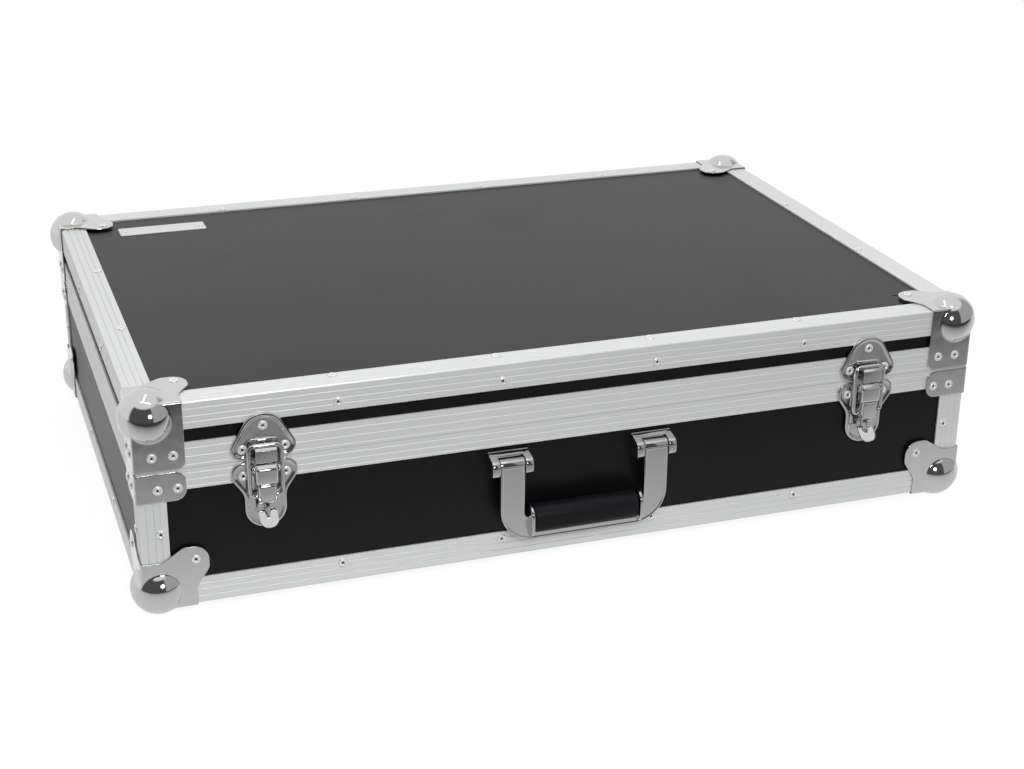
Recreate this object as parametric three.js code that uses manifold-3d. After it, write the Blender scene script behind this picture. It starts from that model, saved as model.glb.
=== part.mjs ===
// Protective flight case: a laminated plywood box in aluminium edges, with ball corners,
// a hinged lid, two padlockable draw latches and a drop handle.
// Millimetres, +Z up. The case stands on the balls of its four lower corners, its front faces -Y,
// and the origin lies on the ground under the middle of the whole object.
import * as THREE from 'three';
import { mergeVertices } from 'three/addons/utils/BufferGeometryUtils.js';
import Module from 'manifold-3d';

const wasm = await Module();
wasm.setup();

// Body, measured over the aluminium edges
const caseWidth = 708;
const caseDepth = 480;
const caseHeight = 169;
const lidHeight = 54;
const seatGap = 0.3;
const overrun = 5;

// Round shapes: largest angle that one flat facet of an arc spans, and sides of a full circle
const facetAngle = Math.PI / 9;
const pinSides = 16;
const ballSides = 24;
const ballHollowSides = 12;

// Boards and foam
const panelThickness = 7;
const foamWall = 12;
const foamFloor = 12;
const lidFoamThickness = 25;

// Extruded edge angle, with fine grooves along its outer faces
const edgeLeg = 22;
const edgeWall = 1.5;
const edgeRound = 1.2;
const grooveWidth = 0.9;
const grooveDepth = 0.45;
const edgeGrooveShares = [0.23, 0.51, 0.74];

// Closure extrusions: a tongue on the base, a groove in the lid
const closureWall = 1.5;
const baseClosureHeight = 17;
const lidClosureHeight = 21;
const closureInnerLeg = 10;
const closureGrooveShares = [0.23, 0.55, 0.86];
const tongueInset = 4.5;
const tongueThickness = 1.5;
const tongueHeight = 3;
const tongueClearance = 0.6;
const grooveRoof = 1.2;

// Ball corners, pressed from sheet
const ballRadius = 21.7;
const ballInset = 13;
const cornerSheet = 1.2;
const cornerNose = 2;
const baseCornerReach = 41;
const baseCornerRise = 39.5;
const lidCornerReach = 38;
const lidCornerLift = 0.8;
const lidCornerRound = 6;
const lobeOverhang = 10.3;
const lobeRadius = 12;
const lobeHeelRadius = 8;
const lobeNeckRadius = 10;
const lobeNeckShare = 0.38;
const lobeHeelShare = 0.77;

// Braces over the upper corners of the base
const braceReach = 37.6;
const braceHeight = 24;
const braceTopDrop = 0.8;
const braceRound = 9;

// Draw latches, measured outward from the edges and up from the parting line
const latchEndDistance = 97;
const latchSheet = 1.2;
const plateRimWidth = 1.7;
const keeperRimHeight = 1;
const keeperFoot = 1;
const keeperBaseWidth = 64;
const keeperApexHeight = 55.2;
const keeperCrownRadius = 18;
const keeperLobeRadius = 9.3;
const hookWidth = 16.6;
const hookReach = 12;
const hookShelfHeight = 11.8;
const hookLipHeight = 1.2;
const hookFaceHeight = 11.4;
const beadWidth = 21;
const beadRadius = 1.7;
const beadRise = 4.8;
const wireRadius = 1.7;
const wireSides = 10;
const bailWidth = 24.3;
const bailLength = 41.5;
const bailOut = 6.3;
const bailBend = 4.5;
const bailToe = 7.1;
const leverPinOut = 8;
const leverPinDrop = 4.7;
const leverPinRadius = 1.5;
const leverBarrelRadius = 3;
const leverSheet = 1.2;
const leverMitreShare = 0.7;
const leverUpperOut = 11.5;
const leverUpperWidth = 17;
const leverUpperLength = 13.9;
const leverLowerOut = 10.5;
const leverLowerWidth = 13.4;
const leverLowerLength = 13.9;
const leverJoggle = 1.9;
const leverJoggleHeight = 1.1;
const leverUpperFlange = 5.5;
const leverLowerFlange = 7.3;
const neckOut = 4.2;
const neckSlope = 5.3;
const neckLength = 5.8;
const thumbTabOut = 13;
const thumbTabDrop = 10.8;
const thumbTabWidth = 14.4;
const thumbTabRound = 6.8;
const staplePinch = 4.4;
const stapleSlotTop = 0.8;
const stapleSlotShare = 0.58;
const stapleWidth = 2;
const stapleWire = 1.9;
const stapleHalfHeight = 4.9;
const stapleReach = 12;
const stapleRound = 3.9;
const stapleDrop = 40.5;
const latchPlateWidth = 32.4;
const latchPlateFoot = 56.5;
const latchPlateRound = 16;
const latchWaistDrop = 28;
const latchWaistRadius = 14;
const earSpan = 51;
const earHeelDrop = 14.5;
const earHeelRadius = 8;
const earTopDrop = 1;
const earRadius = 9.2;
const earGap = 14;
const earInnerRadius = 4.5;
const earSaddleDrop = 8;
const earSaddleRadius = 2;
const latchRimHeight = 0.8;
const cheekSheet = 1.2;
const cheekGap = 0.4;
const cheekRadius = 3.2;

// Drop handle, measured outward from the edges and down from the base's closure
const handleSpan = 123;
const handlePinDrop = 12;
const handlePinOut = 9.6;
const handlePinRadius = 2.5;
const handleBarrelRadius = 5.2;
const armWidth = 20.2;
const bowThickness = 4;
const bowRound = 28;
const bowInnerRound = 4;
const gripLength = 90;
const gripHeight = 22.5;
const gripDepth = 21;
const gripRound = 9;
const gripLift = 4;
const lugWidth = 6.6;
const lugGap = 0.5;
const lugFront = 6.4;
const lugFrontRise = 4.5;
const lugRound = 6;
const bracketPlate = 2.5;
const bracketRise = 8.5;
const bracketFall = 9.5;
const bracketWeb = 2.2;
const bracketWebSetback = 3.6;

// Hinges on the back, with their pin level with the top of the tongue
const hingeEndDistance = 154;
const hingeWidth = 60;
const hingeSheet = 1.5;
const hingePinOut = 4.2;
const hingePinRadius = 1.3;
const hingeKnuckleRadius = 3;
const hingeLeafDrop = 19;
const hingeLeafRise = 18;
const hingeCornerRound = 3;

// Sizes that follow from the ones above
const partingHeight = caseHeight - lidHeight;
const boardInset = edgeWall + seatGap;
const boardBack = boardInset + panelThickness;
const closureDepth = boardBack + seatGap + closureWall;
const lidCornerDrop = lidHeight - lidCornerLift;
const cornerFold = seatGap + cornerSheet;
const ballProud = ballRadius - ballInset;
const hingeHeight = partingHeight + tongueHeight;
const hingeOffset = caseWidth / 2 - hingeEndDistance;
const latchOffset = caseWidth / 2 - latchEndDistance;
const handlePinHeight = partingHeight - baseClosureHeight - handlePinDrop;
const bowDrop = handlePinHeight - edgeLeg;
const bowOut = handlePinOut + handleBarrelRadius - bowThickness / 2;
const frontReach = bowOut + gripDepth / 2;
const backReach = Math.max(hingePinOut + hingeKnuckleRadius, ballProud);
const plateFace = seatGap + latchSheet;
const barHeight = hookShelfHeight + seatGap + wireRadius;
const farAway = caseWidth + caseDepth;

const X = new THREE.Vector3(1, 0, 0);
const Y = new THREE.Vector3(0, 1, 0);
const Z = new THREE.Vector3(0, 0, 1);

// Finishes
function finish(color, roughness, metalness) {
  return () => new THREE.MeshStandardMaterial({ color, roughness, metalness, flatShading: true });
}
const laminate = finish(0x2e3033, 0.45, 0);
const aluminium = finish(0xc9cccb, 0.38, 0.9);
const nickel = finish(0xb6b9b8, 0.16, 1);
const chrome = finish(0xc4c6c7, 0.1, 1);
const rubber = finish(0x141517, 0.55, 0);
const foam = finish(0x3a3b3d, 0.95, 0);

// Solids and geometries
function solid(geometry) {
  const bare = new THREE.BufferGeometry();
  bare.setAttribute('position', geometry.getAttribute('position').clone());
  if (geometry.index) bare.setIndex(geometry.index.clone());
  const merged = mergeVertices(bare);
  const mesh = new wasm.Mesh({
    numProp: 3,
    vertProperties: new Float32Array(merged.getAttribute('position').array),
    triVerts: new Uint32Array(merged.index.array),
  });
  return new wasm.Manifold(mesh);
}

function geometryOf(body) {
  const mesh = body.getMesh();
  const geometry = new THREE.BufferGeometry();
  geometry.setAttribute('position', new THREE.BufferAttribute(new Float32Array(mesh.vertProperties), 3));
  geometry.setIndex(new THREE.BufferAttribute(new Uint32Array(mesh.triVerts), 1));
  geometry.computeVertexNormals();
  return geometry;
}

function boxBetween(from, to) {
  const size = from.map((value, axis) => Math.abs(to[axis] - value));
  const middle = from.map((value, axis) => (value + to[axis]) / 2);
  return solid(new THREE.BoxGeometry(...size).translate(...middle));
}

function rodAlongX(radius, fromX, toX, y, z, sides = pinSides) {
  const rod = new THREE.CylinderGeometry(radius, radius, toX - fromX, sides).rotateZ(Math.PI / 2);
  return solid(rod.translate((fromX + toX) / 2, y, z));
}

// Extrudes an outline whose own axes lie along the two given directions
function extruded(shape, across, up, length, origin) {
  const geometry = new THREE.ExtrudeGeometry(shape, { depth: length, bevelEnabled: false });
  const along = new THREE.Vector3().crossVectors(across, up);
  const frame = new THREE.Matrix4().makeBasis(across, up, along).setPosition(origin);
  return solid(geometry.applyMatrix4(frame));
}

// A sheet cut to an outline in x and z, standing between two distances out from the front
function frontSheet(shape, fromOut, toOut) {
  return extruded(shape, X, Z, toOut - fromOut, new THREE.Vector3(0, -fromOut, 0));
}

// A section drawn outward and up, carried along x about a middle
function sideSection(shape, width, middleX = 0) {
  return extruded(shape, Y.clone().negate(), Z, width, new THREE.Vector3(middleX + width / 2, 0, 0));
}

// Closed outline through corners [x, y, fillet radius], going anticlockwise, drawn in by an inset
function roundedOutline(corners, inset = 0) {
  const points = [];
  corners.forEach(([x, y, radius = 0], i) => {
    const [backX, backY] = corners[(i + corners.length - 1) % corners.length];
    const [aheadX, aheadY] = corners[(i + 1) % corners.length];
    const back = new THREE.Vector2(backX - x, backY - y).normalize();
    const ahead = new THREE.Vector2(aheadX - x, aheadY - y).normalize();
    const inner = back.clone().add(ahead).normalize();
    const half = back.angleTo(ahead) / 2;
    const side = back.cross(ahead) < 0 ? 1 : -1;
    const round = Math.max(radius - side * inset, 0);
    const corner = inner.clone().multiplyScalar(side * inset / Math.sin(half));
    corner.add(new THREE.Vector2(x, y));
    if (round === 0) {
      points.push(corner);
      return;
    }
    const centre = inner.clone().multiplyScalar(round / Math.sin(half)).add(corner);
    const sweep = Math.PI - 2 * half;
    const steps = Math.max(1, Math.ceil(sweep / facetAngle));
    const middle = inner.clone().negate().angle();
    for (let k = 0; k <= steps; k += 1) {
      const angle = middle + side * sweep * (k / steps - 0.5);
      points.push(new THREE.Vector2(Math.cos(angle), Math.sin(angle)).multiplyScalar(round).add(centre));
    }
  });
  return new THREE.Shape(points);
}

// The right half of an outline, bottom to top, with its mirror image
function symmetric(half) {
  return [...half, ...half.map(([x, y, radius]) => [-x, y, radius]).reverse()];
}

// Outline of a bent sheet: a path and the same path set back by the sheet's thickness on its left,
// where a sharp bend reaches back no further than the thickness over the mitre share
function bentSheet(path, thickness, mitreShare) {
  const offset = path.map(([x, y], i) => {
    const before = path[Math.max(i - 1, 0)];
    const after = path[Math.min(i + 1, path.length - 1)];
    const point = new THREE.Vector2(x, y);
    const into = i > 0 ? point.clone().sub(new THREE.Vector2(...before)).normalize() : null;
    const out = i < path.length - 1 ? new THREE.Vector2(...after).sub(point).normalize() : into;
    const way = (into ?? out).clone().add(out).normalize();
    const left = new THREE.Vector2(-way.y, way.x);
    return point.add(left.multiplyScalar(thickness / Math.max(way.dot(out), mitreShare)));
  });
  return new THREE.Shape([...path.map((point) => new THREE.Vector2(...point)), ...offset.reverse()]);
}

// Points of fine V-grooves along a straight outer face
function grooves(from, to, inward, shares) {
  const start = new THREE.Vector2(...from);
  const end = new THREE.Vector2(...to);
  const along = end.clone().sub(start).normalize().multiplyScalar(grooveWidth / 2);
  const deep = new THREE.Vector2(...inward).multiplyScalar(grooveDepth);
  return shares.flatMap((share) => {
    const middle = start.clone().lerp(end, share);
    return [middle.clone().sub(along), middle.clone().add(deep), middle.clone().add(along)];
  });
}

// A round wire along a flat path in x and z
function wire(path, radius) {
  const positions = [];
  const indices = [];
  path.forEach((point, i) => {
    const into = point.clone().sub(path[Math.max(i - 1, 0)]).normalize();
    const out = path[Math.min(i + 1, path.length - 1)].clone().sub(point).normalize();
    const way = into.clone().add(out).normalize();
    const stretch = 1 / Math.max(way.dot(i > 0 ? into : out), way.dot(i < path.length - 1 ? out : into));
    for (let k = 0; k < wireSides; k += 1) {
      const angle = (2 * Math.PI * k) / wireSides;
      const side = Math.cos(angle) * radius * stretch;
      positions.push(point.x - way.y * side, Math.sin(angle) * radius, point.y + way.x * side);
      if (i === 0) continue;
      const next = (k + 1) % wireSides;
      const [a, b] = [(i - 1) * wireSides + k, (i - 1) * wireSides + next];
      const [c, d] = [i * wireSides + k, i * wireSides + next];
      indices.push(a, c, b, b, c, d);
    }
  });
  const last = (path.length - 1) * wireSides;
  for (let k = 1; k < wireSides - 1; k += 1) {
    indices.push(0, k, k + 1, last, last + k + 1, last + k);
  }
  const geometry = new THREE.BufferGeometry();
  geometry.setAttribute('position', new THREE.Float32BufferAttribute(positions, 3));
  geometry.setIndex(indices);
  return solid(geometry);
}

// The case, its base and its lid
const flightCase = new THREE.Group();
flightCase.position.set(0, (frontReach - backReach) / 2, ballProud);
const base = new THREE.Group();
const lid = new THREE.Group();
flightCase.add(base, lid);

function piece(parent, name, body, material) {
  const mesh = new THREE.Mesh(geometryOf(body), material());
  mesh.name = name;
  parent.add(mesh);
}

// Each side in its own frame: x along it, y inward from the outer face
const sides = [
  { name: 'front', length: caseWidth, away: [0, -caseDepth / 2], turn: 0 },
  { name: 'right', length: caseDepth, away: [caseWidth / 2, 0], turn: Math.PI / 2 },
  { name: 'back', length: caseWidth, away: [0, caseDepth / 2], turn: Math.PI },
  { name: 'left', length: caseDepth, away: [-caseWidth / 2, 0], turn: -Math.PI / 2 },
];

// Each corner in its own frame: x and y inward from its two outer faces
const corners = [
  { name: 'front_left', away: [-caseWidth / 2, -caseDepth / 2], turn: 0 },
  { name: 'front_right', away: [caseWidth / 2, -caseDepth / 2], turn: Math.PI / 2 },
  { name: 'back_right', away: [caseWidth / 2, caseDepth / 2], turn: Math.PI },
  { name: 'back_left', away: [-caseWidth / 2, caseDepth / 2], turn: -Math.PI / 2 },
];

function placed(parent, place, height = 0) {
  const group = new THREE.Group();
  group.position.set(...place.away, height);
  group.rotation.z = place.turn;
  parent.add(group);
  return group;
}

// The ball at a corner, in the corner's frame: up is 1 on the base and -1 on the lid
function ball(radius, up, ballFacets) {
  const sphere = new THREE.SphereGeometry(radius, ballFacets, ballFacets / 2).rotateX(Math.PI / 2);
  return solid(sphere.translate(ballInset, ballInset, up * ballInset));
}

// What a board or liner loses at a corner so that the ball fits over it
function ballRelief(up) {
  const reach = ballInset + seatGap;
  const block = boxBetween([-overrun, -overrun, -up * overrun], [reach, reach, up * reach]);
  return block.subtract(ball(ballRadius - cornerSheet - 2 * seatGap, up, ballHollowSides));
}

// Cuts the ball reliefs out of a board that spans x symmetrically
function fitToBalls(board, length, height, up, backLength) {
  const cut = (turn, x, y) => ballRelief(up).rotate([0, 0, turn]).translate([x, y, height]);
  const front = board.subtract(cut(0, -length / 2, 0)).subtract(cut(90, length / 2, 0));
  if (!backLength) return front;
  return front.subtract(cut(180, length / 2, backLength)).subtract(cut(-90, -length / 2, backLength));
}

// Boards. A flat board clears the metal over its margin, and its open field fills the seat gap,
// so that it lies flush with the inside of the edges
function flatBoard(height, up, cornerReach) {
  const depth = caseDepth - 2 * boardInset;
  const half = caseWidth / 2 - boardInset;
  const board = boxBetween(
    [-half, boardInset, height + up * boardInset],
    [half, boardInset + depth, height + up * boardBack],
  );
  const field = (fromEnd, fromSide) => boxBetween(
    [-caseWidth / 2 + fromEnd, fromSide, height + up * edgeWall],
    [caseWidth / 2 - fromEnd, caseDepth - fromSide, height + up * boardBack],
  );
  const pastLeg = edgeLeg + seatGap;
  const pastCorner = cornerReach + lobeOverhang + seatGap;
  const whole = board.add(field(pastLeg, pastCorner)).add(field(pastCorner, pastLeg));
  return fitToBalls(whole, caseWidth, height, up, caseDepth).translate([0, -caseDepth / 2, 0]);
}

function sideBoard(side, from, to, height, up) {
  const isLong = side.length === caseWidth;
  const half = side.length / 2 - (isLong ? boardInset : boardBack + seatGap);
  const board = boxBetween([-half, boardInset, from], [half, boardBack, to]);
  return isLong ? fitToBalls(board, side.length, height, up) : board;
}

piece(base, 'bottom_panel', flatBoard(0, 1, baseCornerReach), laminate);
piece(lid, 'lid_top_panel', flatBoard(caseHeight, -1, lidCornerReach), laminate);

const closureRoof = seatGap + tongueHeight + tongueClearance + grooveRoof;
for (const side of sides) {
  const baseBoardTop = partingHeight - closureWall - seatGap;
  const baseBoard = sideBoard(side, boardBack + seatGap, baseBoardTop, 0, 1);
  piece(placed(base, side), `base_panel_${side.name}`, baseBoard, laminate);
  const lidBoardFoot = partingHeight + closureRoof + seatGap;
  const lidBoardTop = caseHeight - boardBack - seatGap;
  const lidBoard = sideBoard(side, lidBoardFoot, lidBoardTop, caseHeight, -1);
  piece(placed(lid, side), `lid_panel_${side.name}`, lidBoard, laminate);
}

// Foam: a lining with a floor and four walls in the base, and a pad under the lid
function foamLining() {
  const outer = [caseWidth / 2 - boardBack - seatGap, caseDepth / 2 - boardBack - seatGap];
  const inner = outer.map((half) => half - foamWall);
  const foot = boardBack + seatGap;
  const top = partingHeight - closureInnerLeg - seatGap;
  const block = boxBetween([-outer[0], -outer[1], foot], [outer[0], outer[1], top]);
  const well = [foot + foamFloor, top + overrun];
  return block.subtract(boxBetween([-inner[0], -inner[1], well[0]], [inner[0], inner[1], well[1]]));
}

function lidFoamPad() {
  const half = [caseWidth / 2 - boardBack - seatGap, caseDepth / 2 - boardBack - seatGap];
  const top = caseHeight - boardBack - seatGap;
  return boxBetween([-half[0], -half[1], top - lidFoamThickness], [half[0], half[1], top]);
}

piece(base, 'foam_lining', foamLining(), foam);
piece(lid, 'lid_foam_pad', lidFoamPad(), foam);

// Edge angle: two grooved legs with a rounded edge between them
function angleSection(up) {
  const outline = [
    [edgeRound, 0],
    ...grooves([edgeRound, 0], [edgeLeg, 0], [0, 1], edgeGrooveShares).map((p) => p.toArray()),
    [edgeLeg, 0],
    [edgeLeg, edgeWall],
    [edgeWall, edgeWall],
    [edgeWall, edgeLeg],
    [0, edgeLeg],
    ...grooves([0, edgeRound], [0, edgeLeg], [1, 0], edgeGrooveShares).reverse().map((p) => p.toArray()),
    [0, edgeRound],
  ];
  const steps = 2;
  for (let k = 1; k < steps; k += 1) {
    const angle = Math.PI + (Math.PI / 2) * (k / steps);
    outline.push([edgeRound * (1 + Math.cos(angle)), edgeRound * (1 + Math.sin(angle))]);
  }
  return new THREE.Shape(outline.map(([across, rise]) => new THREE.Vector2(across, up * rise)));
}

// Straight edges are cut square and stop short of the corner, where the ball corners bridge them
function straightEdge(side, height, up) {
  const length = side.length - 2 * (edgeLeg + seatGap);
  return extruded(angleSection(up), Y, Z, length, new THREE.Vector3(-length / 2, 0, height));
}

for (const side of sides) {
  piece(placed(base, side), `edge_bottom_${side.name}`, straightEdge(side, 0, 1), aluminium);
  piece(placed(lid, side), `edge_top_${side.name}`, straightEdge(side, caseHeight, -1), aluminium);
}

function uprightEdge() {
  const foot = ballInset + seatGap;
  const top = partingHeight - baseClosureHeight - seatGap;
  return extruded(angleSection(1), X, Y, top - foot, new THREE.Vector3(0, 0, foot));
}

// Closure extrusions, drawn inward and up from the parting line, mitred at the corners
function baseClosureSection() {
  const foot = -baseClosureHeight;
  return new THREE.Shape([
    [0, foot],
    [closureWall, foot],
    [closureWall, -closureWall],
    [closureDepth - closureWall, -closureWall],
    [closureDepth - closureWall, -closureInnerLeg],
    [closureDepth, -closureInnerLeg],
    [closureDepth, 0],
    [tongueInset + tongueThickness, 0],
    [tongueInset + tongueThickness, tongueHeight],
    [tongueInset, tongueHeight],
    [tongueInset, 0],
    [0, 0],
    ...grooves([0, 0], [0, foot], [1, 0], closureGrooveShares).map((p) => p.toArray()),
  ].map((point) => new THREE.Vector2(...point)));
}

function lidClosureSection() {
  const roof = closureRoof;
  const grooveTop = roof - grooveRoof;
  const grooveFrom = tongueInset - tongueClearance;
  const grooveTo = tongueInset + tongueThickness + tongueClearance;
  const top = seatGap + lidClosureHeight;
  return new THREE.Shape([
    [0, seatGap],
    [grooveFrom, seatGap],
    [grooveFrom, grooveTop],
    [grooveTo, grooveTop],
    [grooveTo, seatGap],
    [closureDepth, seatGap],
    [closureDepth, roof + closureInnerLeg],
    [closureDepth - closureWall, roof + closureInnerLeg],
    [closureDepth - closureWall, roof],
    [closureWall, roof],
    [closureWall, top],
    [0, top],
    ...grooves([0, top], [0, seatGap], [1, 0], closureGrooveShares).map((p) => p.toArray()),
  ].map((point) => new THREE.Vector2(...point)));
}

function mitredClosure(section, side) {
  const geometry = new THREE.ExtrudeGeometry(section, { depth: 1, bevelEnabled: false });
  const position = geometry.getAttribute('position');
  for (let i = 0; i < position.count; i += 1) {
    const [inward, rise, share] = [position.getX(i), position.getY(i), position.getZ(i)];
    const length = side.length - 2 * (inward + seatGap);
    position.setXYZ(i, (share - 0.5) * length, inward, partingHeight + rise);
  }
  return solid(geometry);
}

for (const side of sides) {
  const baseClosure = mitredClosure(baseClosureSection(), side);
  const lidClosure = mitredClosure(lidClosureSection(), side);
  piece(placed(base, side), `closure_base_${side.name}`, baseClosure, aluminium);
  piece(placed(lid, side), `closure_lid_${side.name}`, lidClosure, aluminium);
}

// Corner sheet outlines: a plate with a lobe that reaches out along the diagonal. A nose rounds the end
// of a fold, alike on both faces that share the fold
function lobedPlate(reach, rise, firstNose, lastNose) {
  const out = reach + lobeOverhang;
  const top = rise + lobeOverhang;
  return roundedOutline([
    [-cornerFold, -cornerFold],
    [reach, -cornerFold, firstNose],
    [reach, rise * lobeNeckShare, lobeNeckRadius],
    [out, rise * lobeHeelShare, lobeHeelRadius],
    [out, top, lobeRadius],
    [reach * lobeHeelShare, top, lobeHeelRadius],
    [reach * lobeNeckShare, rise, lobeNeckRadius],
    [-cornerFold, rise, lastNose],
  ]);
}

function straightPlate(reach, drop, round) {
  return roundedOutline([
    [-cornerFold, -cornerFold],
    [reach, -cornerFold],
    [reach, drop, round],
    [-cornerFold, drop],
  ]);
}

// A sheet lying just outside one of the corner's three faces
function cornerFace(shape, across, rise, outward) {
  const along = new THREE.Vector3().crossVectors(across, rise);
  const start = along.dot(outward) > 0 ? seatGap : cornerFold;
  return extruded(shape, across, rise, cornerSheet, outward.clone().multiplyScalar(start));
}

// Ball corner: three faces folded from one sheet, cut away round a pressed ball that caps the corner
function ballCorner(up, wallPlate, flatPlate) {
  const rise = Z.clone().multiplyScalar(up);
  const faces = cornerFace(wallPlate, X, rise, Y.clone().negate())
    .add(cornerFace(wallPlate, Y, rise, X.clone().negate()))
    .add(cornerFace(flatPlate, X, Y, rise.clone().negate()));
  const past = ballRadius + overrun;
  const block = boxBetween([-past, -past, -up * past], [ballInset, ballInset, up * ballInset]);
  const within = ballInset - cornerSheet;
  const folded = [-cornerFold, -cornerFold, -up * cornerFold];
  const webs = boxBetween(folded, [ballInset, ballInset, up * ballInset])
    .subtract(boxBetween([-past, -past, -up * past], [within, within, up * within]));
  const inside = boxBetween([-seatGap, -seatGap, -up * seatGap], [farAway, farAway, up * farAway]);
  return faces.subtract(block).add(webs).add(ball(ballRadius, up, ballSides))
    .subtract(ball(ballRadius - cornerSheet, up, ballHollowSides))
    .subtract(inside.subtract(block));
}

function cornerBrace() {
  const top = partingHeight - braceTopDrop;
  const outline = roundedOutline([
    [-cornerFold, top - braceHeight],
    [braceReach, top - braceHeight, braceRound],
    [braceReach, top, braceRound],
    [-cornerFold, top],
  ]);
  return cornerFace(outline, X, Z, Y.clone().negate()).add(cornerFace(outline, Y, Z, X.clone().negate()));
}

for (const corner of corners) {
  const lower = placed(base, corner);
  piece(lower, `upright_edge_${corner.name}`, uprightEdge(), aluminium);
  const baseWall = lobedPlate(baseCornerReach, baseCornerRise, cornerNose, 0);
  const baseFlat = lobedPlate(baseCornerReach, baseCornerReach, cornerNose, cornerNose);
  piece(lower, `ball_corner_base_${corner.name}`, ballCorner(1, baseWall, baseFlat), nickel);
  piece(lower, `corner_brace_${corner.name}`, cornerBrace(), nickel);
  const lidWall = straightPlate(lidCornerReach, lidCornerDrop, lidCornerRound);
  const lidFlat = lobedPlate(lidCornerReach, lidCornerReach, 0, 0);
  const lidCorner = ballCorner(-1, lidWall, lidFlat);
  piece(placed(lid, corner, caseHeight), `ball_corner_lid_${corner.name}`, lidCorner, nickel);
}

// A pressed plate with a raised rim
function rimmedPlate(outline, rimHeight) {
  const rim = frontSheet(roundedOutline(outline), seatGap, plateFace + rimHeight);
  const dish = frontSheet(roundedOutline(outline, plateRimWidth), plateFace, plateFace + rimHeight + overrun);
  return rim.subtract(dish);
}

// Keeper on the lid: a rounded triangle with a bead, and a hook whose shelf carries the bail
function keeper() {
  const outline = [
    [-keeperBaseWidth / 2, keeperFoot, keeperLobeRadius],
    [keeperBaseWidth / 2, keeperFoot, keeperLobeRadius],
    [0, keeperFoot + keeperApexHeight, keeperCrownRadius],
  ];
  const lipTop = hookShelfHeight + hookLipHeight;
  const shelf = sideSection(roundedOutline([
    [seatGap, hookShelfHeight - latchSheet],
    [hookReach - latchSheet / 2, hookShelfHeight - latchSheet],
    [hookReach - latchSheet / 2, hookShelfHeight],
    [seatGap, hookShelfHeight],
  ]), hookWidth);
  const face = sideSection(roundedOutline([
    [hookReach - latchSheet, lipTop - hookFaceHeight],
    [hookReach, lipTop - hookFaceHeight],
    [hookReach, lipTop, latchSheet / 2],
    [hookReach - latchSheet, lipTop],
  ]), hookWidth);
  const beadHeight = hookShelfHeight + beadRise;
  const bead = rodAlongX(beadRadius, -beadWidth / 2, beadWidth / 2, -plateFace, beadHeight)
    .subtract(boxBetween([-beadWidth, -seatGap, 0], [beadWidth, beadRadius, beadHeight + overrun]));
  return rimmedPlate(outline, keeperRimHeight).add(shelf).add(face).add(bead);
}

// Bail: a wire loop hung from the lever, whose bar lies on the hook's shelf
function bail() {
  const half = bailWidth / 2;
  const foot = barHeight - bailLength;
  const path = roundedOutline([
    [half - bailToe, foot],
    [half, foot, bailBend],
    [half, barHeight, bailBend],
    [-half, barHeight, bailBend],
    [-half, foot, bailBend],
    [-half + bailToe, foot],
  ]).getPoints();
  return wire(path, wireRadius).translate([0, -bailOut, 0]);
}

// Lever: one bent sheet seen from the side, cut to its outline seen from the front
function lever() {
  const top = leverBarrelRadius - leverPinDrop;
  const upperFoot = top - leverUpperLength;
  const lowerTop = upperFoot - leverJoggleHeight;
  const lowerFoot = lowerTop - leverLowerLength;
  const neckTop = lowerFoot - neckSlope;
  const tabTop = neckTop - neckLength;
  const tip = tabTop - thumbTabDrop;
  const joggleOut = leverUpperOut - leverJoggle;
  const sheet = bentSheet([
    [thumbTabOut, tip],
    [neckOut, tabTop],
    [neckOut, neckTop],
    [leverLowerOut, lowerFoot],
    [leverLowerOut, lowerTop],
    [joggleOut, lowerTop + leverJoggleHeight / 2],
    [leverUpperOut, upperFoot],
    [leverUpperOut, top - leverSheet],
    [leverUpperOut - leverSheet, top],
    [leverPinOut, top],
  ], leverSheet, leverMitreShare);
  const outline = roundedOutline(symmetric([
    [thumbTabWidth / 2, tip, thumbTabRound],
    [thumbTabWidth / 2, lowerFoot],
    [leverLowerWidth / 2, lowerFoot],
    [leverLowerWidth / 2, upperFoot],
    [leverUpperWidth / 2, upperFoot],
    [leverUpperWidth / 2, top + overrun],
  ]));
  const face = sideSection(sheet, leverUpperWidth).intersect(frontSheet(outline, 0, thumbTabOut + overrun));
  const flange = (width, from, reach, out, foot) => boxBetween(
    [width / 2, -out + leverSheet / 2, foot],
    [width / 2 - leverSheet, -out + reach, from],
  );
  const half = leverUpperWidth / 2;
  const barrel = rodAlongX(leverBarrelRadius, -half, half, -leverPinOut, -leverPinDrop);
  const upper = flange(leverUpperWidth, -leverPinDrop, leverUpperFlange, leverUpperOut, upperFoot);
  const lower = flange(leverLowerWidth, lowerTop, leverLowerFlange, leverLowerOut, lowerFoot);
  const flanges = upper.add(lower);
  const slotFoot = tabTop - thumbTabDrop * stapleSlotShare;
  const bailFoot = barHeight - bailLength;
  const [bore, reach] = [leverPinRadius + seatGap, half + overrun];
  return face.add(barrel).add(flanges).add(flanges.mirror([1, 0, 0]))
    .subtract(rodAlongX(bore, -reach, reach, -leverPinOut, -leverPinDrop))
    .subtract(rodAlongX(wireRadius + seatGap, -half, half, -bailOut, bailFoot))
    .subtract(boxBetween(
      [-staplePinch / 2, 0, slotFoot],
      [staplePinch / 2, -thumbTabOut - overrun, lowerFoot - stapleSlotTop],
    ));
}

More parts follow.
